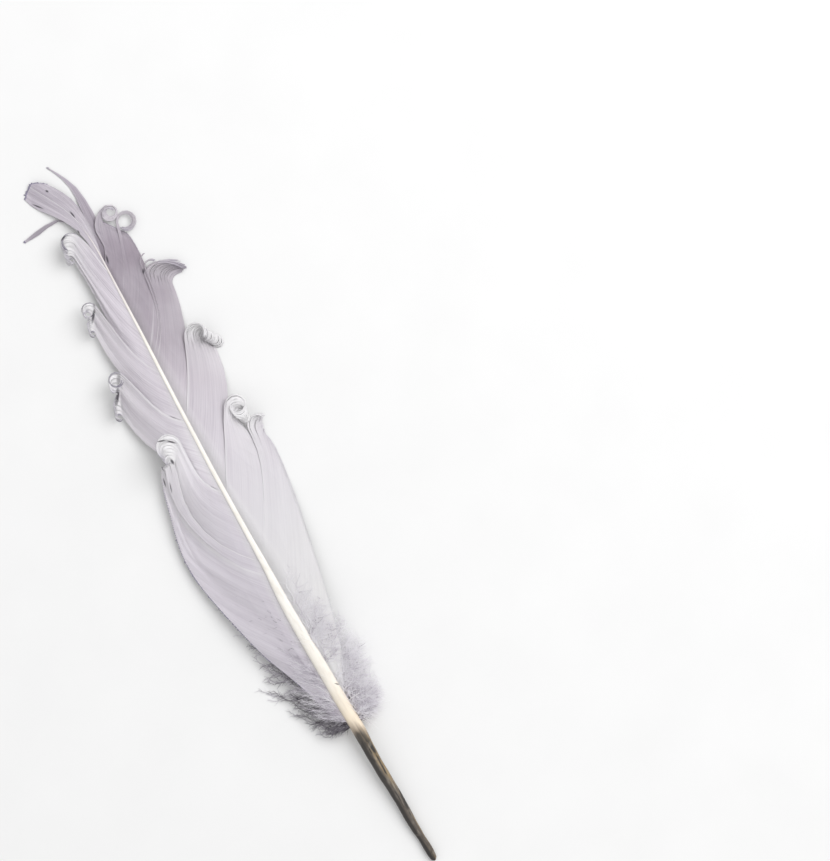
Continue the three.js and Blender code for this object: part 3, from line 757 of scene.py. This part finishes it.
def vane_material(name, colours, **strengths):
    """Zipped barbs: the barb colour over a ramp of (place, colour) stops from the foot of the vane
    to its tip. Their sheen is soft, and some light passes through."""
    material, tree, shader, output = new_material(name)
    place = tree.nodes.new("ShaderNodeTexCoord").outputs["Object"]
    quill_x = float(ORIGIN[0])
    along = mapped(tree, split(tree, place)["X"], quill_x + VANE_START * MM, quill_x + VANE_STOP * MM)
    colour = placed(tree, barb_colour, Ground=ramp(tree, along, colours), Along=along, **strengths)
    tree.links.new(colour, shader.inputs["Base Color"])
    shader.inputs["Roughness"].default_value = 0.62
    shader.inputs["Specular IOR Level"].default_value = 0.35
    shader.inputs["Sheen Weight"].default_value = 0.2
    shader.inputs["Sheen Roughness"].default_value = 0.4
    let_through(tree, shader, output, colour, 0.14)
    return material


NARROW_COLOURS = [                # lilac grey, darker at the tip
    (0.0, (0.73, 0.69, 0.75)),
    (0.20, (0.73, 0.69, 0.75)),
    (0.35, (0.80, 0.76, 0.82)),
    (0.50, (0.89, 0.85, 0.90)),
    (0.58, (0.79, 0.74, 0.80)),
    (0.68, (0.88, 0.83, 0.89)),
    (0.76, (0.83, 0.78, 0.84)),
    (0.83, (0.72, 0.67, 0.73)),
    (0.93, (0.66, 0.61, 0.67)),
    (1.0, (0.64, 0.59, 0.66)),
]
narrow_vane = vane_material("narrow_vane", NARROW_COLOURS, Outline=0.75)

LEFT_LOCKS = [
    [
        [
            barb(48.5, [(51, 2.0, 0), (55.5, 4.1, 0)]),
            barb(53, [(58, 3.3, 0), (65, 6.6, 0)]),
            barb(60, [(67, 4.4, 0.1), (76, 10.3, 0.6)]),
            barb(67, [(76, 5.6, 0.2), (88, 13.0, 1.5)]),
            barb(75, [(85, 6.2, 0.2), (93, 11.2, 0.9), (102, 15.5, 2.2)]),
            barb(83, [(93, 6.0, 0.2), (104, 12.2, 0.9), (115, 15.5, 2.0)]),
            barb(89, [(99, 5.6, 0.1), (109, 10.9, 0.5), (118, 13.6, 0.9), (126, 12.6, 1.2)]),
            barb(93.5, [(103, 5.0, 0), (113, 9.6, 0.1), (123, 11.7, 0.3), (131.5, 10.2, 0.6),
                        (135.3, 9.3, 0.7)], (1.2, 0.1, 0.7, 0.2, 60)),
            barb(97.5, [(106, 4.1, 0), (112, 6.8, 0.05), (118, 8.8, 0.1), (126, 9.6, 0.3),
                        (134, 8.2, 0.8), (139.2, 6.7, 1.3)], (1.4, 0.15, 0.7, 0.2, 70)),
        ],
        [
            barb(97.2, [(105, 3.7, 0), (111.5, 6.6, 0.15), (118, 8.6, 0.35), (126, 9.6, 0.6),
                        (133, 8.6, 1.1), (138.4, 6.6, 1.7)], (1.0, 0.3, 0.7, 0.3, 60)),
            barb(101.4, [(107, 1.6, 0.05), (113, 4.9, 0.2), (119, 6.7, 0.3), (126, 7.0, 0.5),
                         (131, 5.9, 0.9), (135, 4.4, 1.4), (138.6, 3.2, 1.9)],
                 (1.0, 0.3, 0.8, 0.3, 70)),
        ],
    ],
    [
        [
            barb(101.6, [(107.5, 2.0, -0.1), (113, 5.3, -0.1), (119, 7.2, -0.1), (126, 7.5, 0),
                         (131, 6.2, 0.4), (138.4, 3.2, 1.4)], (1.3, 0.5, 0.8, 0.4, 70)),
            barb(113, [(120, 0.8, 0.1), (128, 2.8, 0.4), (134.5, 2.0, 1.0), (141, 0.9, 1.9)],
                 (2.6, 0.55, 0.8, 0.4, 65)),
            barb(124.4, [(129, -1.6, 0.25), (135.5, -1.0, 0.8), (143, -1.7, 2.0)],
                 (4.2, 0.6, 0.75, 0.6, 65)),
        ],
    ],
    [
        [
            barb(124.7, [(128.5, -2.2, 0), (131.5, 0.0, 0), (137, 2.6, 0), (143, 5.2, 0),
                         (150, 7.8, 0.2), (158.5, 9.0, 0.8)], (1.2, 0.85, 0.7, 0.3, 60)),
            barb(136, [(143, 0.5, 0.1), (150, 3.8, 0.3), (157, 5.9, 0.8), (163.5, 6.4, 1.5)],
                 (2.0, 0.12, 1, 0.2, 15)),
            barb(147.4, [(151.5, -2.6, 0.2), (157, -0.4, 0.6), (163, 1.0, 1.3), (168.8, 2.3, 2.2)],
                 (2.5, 0.9, 0.7, 0.5, 70)),
        ],
    ],
    [
        [
            barb(147.7, [(151.5, -3.0, 0), (156, -0.2, 0), (162, 1.4, 0), (169, 2.6, 0),
                         (176, 3.2, 0.4), (183.3, 2.9, 1.0)], (0.9, 0.8, 0.8, 0.3, 60)),
            barb(155.5, [(162, -3.2, 0.1), (170, -0.6, 0.3), (178.5, 0.6, 0.8), (187, 0.8, 1.5)],
                 (2.0, 0.12, 1, 0.2, 15)),
            barb(163.4, [(168, -5.0, 0.2), (174, -3.3, 0.6), (181.5, -2.4, 1.2), (190, -1.7, 2.0)],
                 (2.4, 0.8, 0.75, 0.5, 70)),
        ],
    ],
    [
        [
            barb(163.7, [(168, -5.3, 0), (172, -3.2, 0), (178, -2.3, 0), (185, -2.3, 0),
                         (193, -2.9, 0.2), (200, -3.1, 0.9), (205, -3.0, 1.6)],
                 (1.1, 0.8, 0.8, 0.3, 70)),
            barb(175, [(182, -6.2, 0.05), (190, -5.2, 0.25), (198, -4.7, 0.8), (206.5, -4.5, 1.7)],
                 (1.7, 0.7, 0.8, 0.3, 65)),
            barb(186, [(193, -7.7, 0.1), (200, -6.7, 0.4), (208.8, -6.1, 1.6)],
                 (2.3, 0.6, 0.8, 0.3, 65)),
            barb(197, [(202, -9.4, 0.15), (207, -8.9, 0.6), (210.2, -8.0, 1.5)],
                 (3.2, 0.55, 0.8, 0.5, 65)),
        ],
    ],
]

for number, sheets in enumerate(LEFT_LOCKS, 1):
    barbs = joined(*(lock_barbs(guides, LEFT) for guides in sheets))
    mesh_piece(f"left_lock_{number}_barbs", barbs, narrow_vane, f"left_lock_{number}", "vane")

# ---- Right vane ------------------------------------------------------------------------------
# The wide side of the vane, paler at its foot, in five longer locks. They are made as the left
# ones are, curl the other way, and roll up into looser rings.

WIDE_COLOURS = [                  # near white at the foot, lilac grey above
    (0.0, (0.94, 0.93, 0.93)),
    (0.20, (0.91, 0.90, 0.90)),
    (0.35, (0.87, 0.85, 0.88)),
    (0.50, (0.83, 0.78, 0.84)),
    (0.60, (0.76, 0.70, 0.76)),
    (0.68, (0.55, 0.49, 0.55)),
    (0.82, (0.41, 0.35, 0.41)),
    (0.92, (0.62, 0.56, 0.63)),
    (1.0, (0.64, 0.59, 0.66)),
]
# On the wide side the painted light and shade of the curls are weaker near the foot, and the painted
# light at a barb's foot reaches further.
wide_vane = vane_material("wide_vane", WIDE_COLOURS, Lines_at_foot=0.3, White_above=0.25,
                          Shade_at_foot=0.3, End_line=0.3, Foot_reach=0.07, Foot_white=0.6)

RIGHT_LOCKS = [
    [
        [
            barb(56, [(61, -5.8, 0), (68, -9.6, 0)]),
            barb(64, [(72, -8.2, 0), (83, -14.2, 0)]),
            barb(72, [(81, -9.0, 0), (91, -14.4, 0), (99, -18.2, 0)]),
            barb(80, [(89, -9.4, 0), (100, -15.4, 0), (112, -21.2, 0)]),
            barb(88, [(98, -10.4, 0), (110, -16.8, 0), (124, -23.4, 0)]),
            barb(94, [(104, -11.0, 0), (116, -17.2, 0), (125, -21.6, 0.1), (131.5, -23.5, 0.4)]),
            barb(98, [(108, -10.9, 0), (120, -17.2, 0.2), (129, -20.9, 0.8), (134.5, -21.9, 1.2)],
                 (4.0, 0.25, 0.8, 0.5, 90)),
            barb(101.4, [(111, -10.4, 0), (121, -16.0, 0.05), (129, -19.2, 0.3), (136, -20.3, 1.2)],
                 (3.2, 0.5, 0.8, 1.0, 90)),
        ],
    ],
    [
        [
            barb(101.6, [(111, -10.5, 0), (121, -16.2, 0), (129, -19.3, 0.1), (134, -19.9, 0.5),
                         (138.5, -19.3, 1.0)],
                 (2.0, 1.3, 0.5, 0.6, 90)),
            barb(112.5, [(122, -10.6, 0.1), (131, -15.0, 0.4), (138, -17.0, 1.0), (142, -17.9, 1.7)],
                 (2.8, 1.15, 0.5, 0.8, 90)),
            barb(123.4, [(130, -9.0, 0.1), (137, -13.0, 0.4), (142, -15.7, 1.0), (145.6, -18.1, 1.9)],
                 (3.6, 0.95, 0.55, 1.0, 90)),
        ],
    ],
    [
        [
            barb(123.7, [(131, -10.4, 0), (139, -15.6, 0), (146, -19.4, 0), (153, -22.8, 0.2),
                         (162.5, -24.8, 0.8)], (1.5, 1.25, 0.95, 0.3, 90)),
            barb(136, [(144, -12.1, 0.1), (153, -17.4, 0.4), (160, -20.6, 1), (166, -21.9, 1.6)],
                 (2.4, 0.8, 0.5, 0.5, 68)),
            barb(148.4, [(155, -11.4, 0.1), (162, -15.5, 0.4), (168.7, -18.6, 1.3)],
                 (3.9, 0.58, 0.6, 0.8, 75)),
        ],
    ],
    [
        [
            barb(148.7, [(156, -12.1, 0), (164, -17.2, 0), (172, -20.4, 0), (179, -22.8, 0.2),
                         (184.2, -23.9, 0.8)], (1.3, 0.28, 4, 0.5, 90)),
            barb(160, [(168, -13.2, 0.05), (176, -17.3, 0.2), (183, -20.4, 0.6), (187.6, -22.0, 1.2)],
                 (1.3, 0.33, 7, 0.6, 90)),
            barb(171.4, [(178, -13.6, 0), (184.5, -16.9, 0.1), (190.6, -18.7, 0.7)],
                 (1.2, 0.38, 14, 0.8, 90)),
        ],
        [
            barb(166.5, [(174, -14.1, 0.2), (181, -17.2, 0.4), (187.5, -18.8, 1.0), (192, -19.7, 1.7)],
                 (2.0, 0.4, 0.9, 0.4, 90)),
            barb(167.0, [(174, -14.0, 0.2), (181, -17.1, 0.4), (187.5, -18.7, 1.0), (192, -19.6, 1.7)],
                 (1.8, 0.4, 0.9, 0.4, 90)),
        ],
        [
            barb(168.5, [(175, -13.8, 0.2), (182, -16.8, 0.4), (189, -18.3, 1.0), (193.8, -19.3, 1.8)],
                 (2.6, 0.22, 1, 0.5, 90)),
            barb(169.0, [(175, -13.7, 0.2), (182, -16.7, 0.4), (189, -18.2, 1.0), (193.8, -19.2, 1.8)],
                 (2.4, 0.20, 1, 0.5, 90)),
        ],
    ],
    [
        [
            barb(171.7, [(179, -14.2, 0), (186, -17.9, 0), (191, -19.6, 0), (196, -20.3, 0.1)]),
            barb(178, [(185.5, -14.9, 0), (193, -18.3, 0.05), (202.0, -20.4, 0.3)]),
            barb(185, [(192, -14.4, 0.05), (199, -17.3, 0.2), (205.2, -18.9, 0.5)]),
            barb(192, [(198, -13.8, 0.05), (203.5, -15.9, 0.2), (208.0, -17.1, 0.5)]),
            barb(199, [(203.5, -13.1, 0.05), (207.5, -13.7, 0.2), (210.8, -15.2, 0.6)]),
        ],
        [
            barb(186, [(193, -14.5, 0.15), (199.5, -17.1, 0.4), (204, -18.8, 0.9),
                       (207.5, -19.9, 1.6)], (2.2, 0.9, 0.95, 0.5, 90)),
            barb(188.6, [(195, -14.2, 0.15), (200.5, -16.8, 0.4), (204.6, -18.2, 0.9),
                         (207.8, -19.2, 1.7)], (2.9, 0.9, 0.95, 0.5, 90)),
        ],
        [
            barb(195.6, [(201, -13.6, 0.15), (205.5, -14.5, 0.35), (210, -15.9, 0.9),
                         (212.7, -18.1, 1.6)], (2.0, 1.25, 0.6, 0.6, 90)),
            barb(199.1, [(204, -12.9, 0.15), (208.5, -13.1, 0.4), (211.7, -14.8, 1.0),
                         (213.5, -17.4, 1.7)], (2.8, 1.25, 0.6, 0.6, 90)),
        ],
    ],
]

for number, sheets in enumerate(RIGHT_LOCKS, 1):
    barbs = joined(*(lock_barbs(guides, RIGHT) for guides in sheets))
    mesh_piece(f"right_lock_{number}_barbs", barbs, wide_vane, f"right_lock_{number}", "vane")

# ---- Tip -------------------------------------------------------------------------------------
# Past its last locks the feather ends in a flat tuft that the curling left alone, with a thin
# strand of barbs beside it on each side.

TUFT_LEFT = [
    barb(198, [(204, -9.4, 0), (211, -8.8, 0), (216, -6.8, 0), (221, -3.6, 0), (225, -1.0, 0),
               (227.6, -0.3, 0)]),
    barb(204, [(210, -9.8, 0), (217, -7.9, 0), (223, -4.7, 0), (229.0, -1.7, 0)]),
    barb(210.4, [(214, -10.0, 0.1), (220, -8.3, 0.1), (225.5, -5.7, 0.1), (230.0, -3.5, 0.1)]),
]
TUFT_RIGHT = [
    barb(201, [(207, -11.8, 0), (213, -12.4, 0), (219, -12.2, 0), (224, -10.5, 0), (228.3, -8.0, 0)]),
    barb(205, [(212, -11.5, 0), (218, -10.6, 0), (224, -8.5, 0), (230.2, -5.4, 0)]),
    barb(210.6, [(214, -9.9, 0), (220, -8.0, 0), (226, -5.0, 0), (230.0, -3.2, 0)]),
]
tuft = joined(*(lock_barbs(guides, side, waviness=0.05, dark=0.3, ragged=0.03)
                for guides, side in ((TUFT_LEFT, LEFT), (TUFT_RIGHT, RIGHT))))
mesh_piece("tip_tuft_barbs", tuft, narrow_vane, "tip_tuft", "vane")

LEFT_WISP = [
    barb(202, [(209, -10.4, -1.2), (214, -8.6, -1.2), (216.9, -6.2, -1.0), (217.5, -2.6, -0.5),
               (217.0, 1.5, 0.1), (217.1, 6, 0.4)]),
    barb(204.5, [(209.5, -10.9, -1.2), (214.5, -9.0, -1.2), (217.3, -6.3, -1.0),
                 (218.3, -2.6, -0.5), (218.2, 1.5, 0.1), (217.6, 6, 0.4)]),
]
RIGHT_WISP = [
    barb(199.5, [(205, -13.3, -0.4), (209.5, -14.6, -0.7), (214, -15.1, -0.8),
                 (218.4, -15.2, -0.8), (223.2, -14.8, -0.6), (228, -13.0, -0.3), (231.8, -11.1, 0)]),
    barb(204, [(207, -11.9, -0.3), (213, -12.5, -0.4), (218, -12.9, -0.5), (223, -13.3, -0.5),
               (228, -12.4, -0.3), (231.7, -10.9, 0)]),
]
for name, guides, side, dark, look in (("left_wisp", LEFT_WISP, LEFT, 1.7, narrow_vane),
                                       ("right_wisp", RIGHT_WISP, RIGHT, 0.9, wide_vane)):
    barbs = lock_barbs(guides, side, waviness=0.02, dark=dark)
    mesh_piece(f"{name}_barbs", barbs, look, name, "vane")

# ---- Down ------------------------------------------------------------------------------------
# Soft barbs at the vane's foot that never zip: limp threads with fine barbules, rooted in the shaft.
# On the left a dark fringe spreads past the vane's edge, and a short pale fray lies on it. On the
# right they are pale and curly, over and under the vane. Each side has a dark knot at its roots.

STRAND_POINTS, BARBULE_POINTS = 10, 4
LOWEST_BARBULE = 0.12             # barbules stay this far above the floor, in mm
THREAD_ROOT, THREAD_TIP = 0.11, 0.05         # half widths in mm
BARBULE_ROOT, BARBULE_TIP = 0.045, 0.025


def strand_lines(roots, headings, bends, lengths, lifts, wave, side):
    """Threads that leave the shaft at their heading, in degrees from the shaft's direction, turn
    steadily by their bend and sway by the wave. Steps of equal length are summed, and the height
    is the vane's plus a lift that goes from the first to the second value."""
    share = (np.arange(STRAND_POINTS - 1) + 0.5) / (STRAND_POINTS - 1)
    phase = rng.random((len(roots), 1)) * 2 * math.pi
    sway = wave * np.sin(2 * math.pi * (share * (1.0 + rng.random((len(roots), 1)))) + phase)
    heading = np.radians(headings[:, None] + bends[:, None] * share + sway)
    step = lengths[:, None] / (STRAND_POINTS - 1)
    x = roots[:, None] + np.cumsum(np.c_[np.zeros(len(roots)), step * np.cos(heading)], 1)
    flank = shaft_at(roots, 0) + side * (0.5 * shaft_at(roots, 2) - 0.15)
    y = flank[:, None] + side * np.cumsum(np.c_[np.zeros(len(roots)), step * np.sin(heading)], 1)
    lift = lifts[:, :1] + (lifts[:, 1:] - lifts[:, :1]) * np.linspace(0, 1, STRAND_POINTS) ** 0.7
    lift[:, 0] = -0.3
    z = np.maximum(vane_height(x, y) + lift, LOWEST_BARB + 0.6 * rng.random((len(roots), 1)))
    return np.stack([x, y, z], -1)


def barbule_lines(strands, count, angle, length, upward):
    """Fine hairs on both sides of each strand, left and right in turn. Each leaves at its angle,
    rises or sinks by the upward share, and bends gently back along the strand."""
    share = np.linspace(0.06, 0.99, count) * (STRAND_POINTS - 1)
    i = np.minimum(share.astype(int), STRAND_POINTS - 2)
    f = (share - i)[None, :, None]
    base = strands[:, i] * (1 - f) + strands[:, i + 1] * f
    along = unit(strands[:, i + 1] - strands[:, i])
    flat = unit(np.cross((0, 0, 1), along))
    shape = base.shape[:2]
    turn = np.radians(angle * (0.75 + 0.5 * rng.random(shape)))
    turn = turn * np.where(np.arange(count) % 2, 1, -1)
    back = 0.55 + 0.5 * rng.normal(size=shape)
    climb = upward * rng.normal(size=shape)
    reach = length * (0.5 + 0.8 * rng.random(shape)) * (1 - 0.45 * np.linspace(0, 1, count) ** 2)
    steps = np.arange(BARBULE_POINTS - 1) / (BARBULE_POINTS - 1)
    bent = turn[..., None] * (1 - back[..., None] * steps * 0.6)
    moves = along[:, :, None] * np.cos(bent)[..., None] + flat[:, :, None] * np.sin(bent)[..., None]
    moves[..., 2] += climb[..., None] * (1 - 0.5 * steps)
    moves = unit(moves) * (reach / (BARBULE_POINTS - 1))[..., None, None]
    lines = np.concatenate([base[:, :, None], base[:, :, None] + np.cumsum(moves, 2)], 2)
    lines[..., 2] = np.maximum(lines[..., 2], LOWEST_BARBULE)
    return lines.reshape(-1, BARBULE_POINTS, 3)


def threads(lines, thick, thin, tones):
    """Closed three-sided threads along lines, tapering from the thick to the thin half width."""
    count, steps = lines.shape[:2]
    along = unit(np.gradient(lines, axis=1))
    across = np.cross(along, (0, 0, 1))
    share = np.linspace(0, 1, steps)
    half = np.broadcast_to(thick + (thin - thick) * share, (count, steps))
    points, faces = strips(lines, across, half, 1.2 * half, 0)
    uv = np.stack(np.broadcast_arrays(share[None, :, None], np.zeros((count, 1, 3))), -1)
    tone = np.broadcast_to(tones[:, None, None], (count, steps, 3)).ravel()
    return points, faces, uv.reshape(-1, 2), tone, np.zeros(count * steps * 3)


def down(strands, tone, per_strand, angle, length, upward, thick=BARBULE_ROOT):
    """A set of downy barbs: their threads and all the barbules on them. Tone is the middle of the
    threads' tones, their spread, and the lowest and the highest."""
    middle, spread, lowest, highest = tone
    tones = np.clip(middle + spread * rng.normal(size=len(strands)), lowest, highest)
    hairs = barbule_lines(strands, per_strand, angle, length, upward)
    hair_tones = np.repeat(tones, per_strand) + 0.08 * rng.normal(size=len(hairs))
    return joined(threads(strands, THREAD_ROOT, THREAD_TIP, tones),
                  threads(hairs, thick, BARBULE_TIP, hair_tones))


def down_material():
    """Down from near black to near white by each thread's own tone, a little blotched, and paler to
    the ends of the threads. Soft, without gloss, and light passes through."""
    material, tree, shader, output = new_material("down")
    coordinates = tree.nodes.new("ShaderNodeTexCoord").outputs
    thread_share = split(tree, coordinates["UV"])["X"]
    paler = maths(tree, "MULTIPLY_ADD", thread_share, 0.12, attribute(tree, "tone"))
    blotch = noise(tree, coordinates["Object"], 350, 3)
    paler = maths(tree, "ADD", paler, mapped(tree, blotch, 0.3, 0.7, -0.1, 0.1))
    colour = ramp(tree, paler, [
        (0.0, (0.045, 0.040, 0.048)),
        (0.3, (0.17, 0.155, 0.18)),
        (0.6, (0.42, 0.39, 0.44)),
        (0.85, (0.80, 0.77, 0.82)),
        (1.0, (0.96, 0.95, 0.97)),
    ])
    tree.links.new(colour, shader.inputs["Base Color"])
    shader.inputs["Roughness"].default_value = 0.8
    shader.inputs["Specular IOR Level"].default_value = 0.2
    let_through(tree, shader, output, colour, 0.4)
    return material


def spread_down(count, first, last, side, steep, flat, lengths, bend, lift, wave):
    """Threads with roots crowded to the first end. Their heading falls from steep to flat along
    the shaft, and their length follows the profile of (root, length) pairs. Bend, lift and wave
    are those of strand_lines."""
    roots = first + (last - first) * rng.random(count) ** 1.5
    share = (roots - first) / (last - first)
    headings = steep + (flat - steep) * np.sqrt(share) + 7 * rng.normal(size=count)
    places, reach = zip(*lengths)
    length = np.interp(roots, places, reach) * (0.75 + 0.35 * rng.random(count))
    bends = bend * (0.4 + rng.random(count))
    low, high = lift
    lifts = np.stack([low + (high - low) * rng.random(count) for _ in range(2)], -1)
    return strand_lines(roots, headings, bends, length, lifts, wave, side)


down_look = down_material()
left_fringe = spread_down(66, 46.8, 86, LEFT, 76, 30,
                          [(46.8, 9), (50, 14), (55, 18.5), (60, 20), (66, 20), (86, 21)],
                          -14, (-1.3, -0.3), 32)
left_knot = spread_down(26, 46.5, 56, LEFT, 84, 52, [(46.5, 6), (50, 9.5), (56, 12)], -15,
                        (-1.0, -0.1), 24)
left_fray = spread_down(30, 48, 68, LEFT, 50, 33, [(48, 8), (56, 13), (68, 13)],
                        3, (0.10, 0.35), 16)
left_edge = spread_down(30, 61, 80, LEFT, 56, 46, [(61, 20), (68, 21.5), (80, 23)], -12,
                        (-1.0, -0.2), 34)
left_stray = spread_down(12, 46.8, 56, LEFT, 88, 52, [(46.8, 13), (51, 17), (56, 21)], -16,
                         (-0.8, -0.1), 58)
left_down = joined(
    down(left_fringe, (0.45, 0.15, 0.15, 0.8), 26, 27, 2.4, 0.25),
    down(left_edge, (0.50, 0.15, 0.2, 0.8), 26, 30, 2.4, 0.25),
    down(left_knot, (0.34, 0.12, 0.1, 0.6), 14, 40, 1.8, 0.3, 0.05),
    down(left_fray, (0.86, 0.10, 0.6, 1.05), 26, 36, 2.0, 0.12),
    down(left_stray, (0.40, 0.10, 0.2, 0.6), 10, 34, 1.3, 0.25),
)
mesh_piece("left_down_threads", left_down, down_look, "left_down", "down")

right_under = spread_down(34, 47, 70, RIGHT, 84, 42, [(47, 8), (52, 13), (60, 14), (70, 13)],
                          4, (-0.9, -0.2), 22)
right_over = spread_down(44, 48, 86, RIGHT, 78, 24, [(48, 8), (56, 13), (66, 14), (86, 12)],
                         -4, (0.1, 0.7), 32)
right_knot = spread_down(16, 46.5, 54, RIGHT, 86, 50, [(46.5, 4), (50, 6), (54, 7)], 5,
                         (-1.2, -0.6), 14)
right_down = joined(
    down(right_under, (0.92, 0.10, 0.6, 1.1), 26, 56, 3.8, 0.12, 0.055),
    down(right_over, (0.98, 0.12, 0.7, 1.2), 20, 64, 6.0, 0.12, 0.055),
    down(right_knot, (0.36, 0.12, 0.1, 0.6), 14, 40, 2.0, 0.1, 0.06),
)
mesh_piece("right_down_threads", right_down, down_look, "right_down", "down")

# ---- Floor, light and camera -----------------------------------------------------------------
# A pale floor that runs on without an edge, one wide lamp overhead and an even glow from all
# sides, and a camera that looks straight down with the quill at the lower right.

FLOOR_REACH = 3.0                 # from the middle to each side, in metres
floor_mesh = bpy.data.meshes.new("floor")
floor_mesh.from_pydata(
    [(-FLOOR_REACH, -FLOOR_REACH, 0), (FLOOR_REACH, -FLOOR_REACH, 0),
     (FLOOR_REACH, FLOOR_REACH, 0), (-FLOOR_REACH, FLOOR_REACH, 0)], [], [(0, 1, 2, 3)])
floor = bpy.data.objects.new("floor", floor_mesh)
bpy.context.scene.collection.objects.link(floor)
floor_material, floor_tree, floor_shader, _ = new_material("floor")
floor_place = floor_tree.nodes.new("ShaderNodeTexCoord").outputs["Object"]
floor_colour = ramp(floor_tree, noise(floor_tree, floor_place, 40, 4),
                    [(0.3, (0.83, 0.83, 0.83)), (0.7, (0.85, 0.85, 0.85))])
floor_tree.links.new(floor_colour, floor_shader.inputs["Base Color"])
floor_shader.inputs["Roughness"].default_value = 0.9
floor_mesh.materials.append(floor_material)

GLOW = 0.72                       # strength of the light from all sides
world = bpy.data.worlds.new("studio")
world.use_nodes = True
background = world.node_tree.nodes["Background"]
background.inputs["Color"].default_value = (1, 1, 1, 1)
background.inputs["Strength"].default_value = GLOW
bpy.context.scene.world = world

LAMP_WIDTH, LAMP_POWER = 1.0, 8.7            # in metres and watts
LAMP_PLACE = (0.17, -0.72, 0.95)             # in metres
lamp = bpy.data.lights.new("studio_lamp", "AREA")
lamp.shape = "DISK"
lamp.size = LAMP_WIDTH
lamp.energy = LAMP_POWER
lamp_object = bpy.data.objects.new("studio_lamp", lamp)
lamp_object.location = LAMP_PLACE
lamp_object.rotation_euler = (-lamp_object.location).to_track_quat("-Z", "Y").to_euler()
bpy.context.scene.collection.objects.link(lamp_object)

IMAGE_HEIGHT = 861                # in pixels
MM_PER_PIXEL = 0.29262            # at VIEW_HEIGHT above the floor
VIEW_HEIGHT = 2.0                 # in mm
FEATHER_ANGLE = 121.98            # of the line from quill end to tip, anticlockwise from right
VIEW_CENTRE = np.array([109.9, -61.4])   # middle of the image, measured as the stations are
LENS, SENSOR = 135.0, 36.0
camera_data = bpy.data.cameras.new("camera")
camera_data.lens, camera_data.sensor_width = LENS, SENSOR
camera = bpy.data.objects.new("camera", camera_data)
bpy.context.scene.collection.objects.link(camera)
distance = LENS / SENSOR * IMAGE_HEIGHT * MM_PER_PIXEL * MM
camera.location = (*(ORIGIN[:2] + VIEW_CENTRE * MM), distance + VIEW_HEIGHT * MM)
camera.rotation_euler = (0, 0, math.radians(-FEATHER_ANGLE))
camera_data.clip_start, camera_data.clip_end = 0.01, 10
bpy.context.scene.camera = camera
bpy.context.scene.view_settings.view_transform = "Standard"
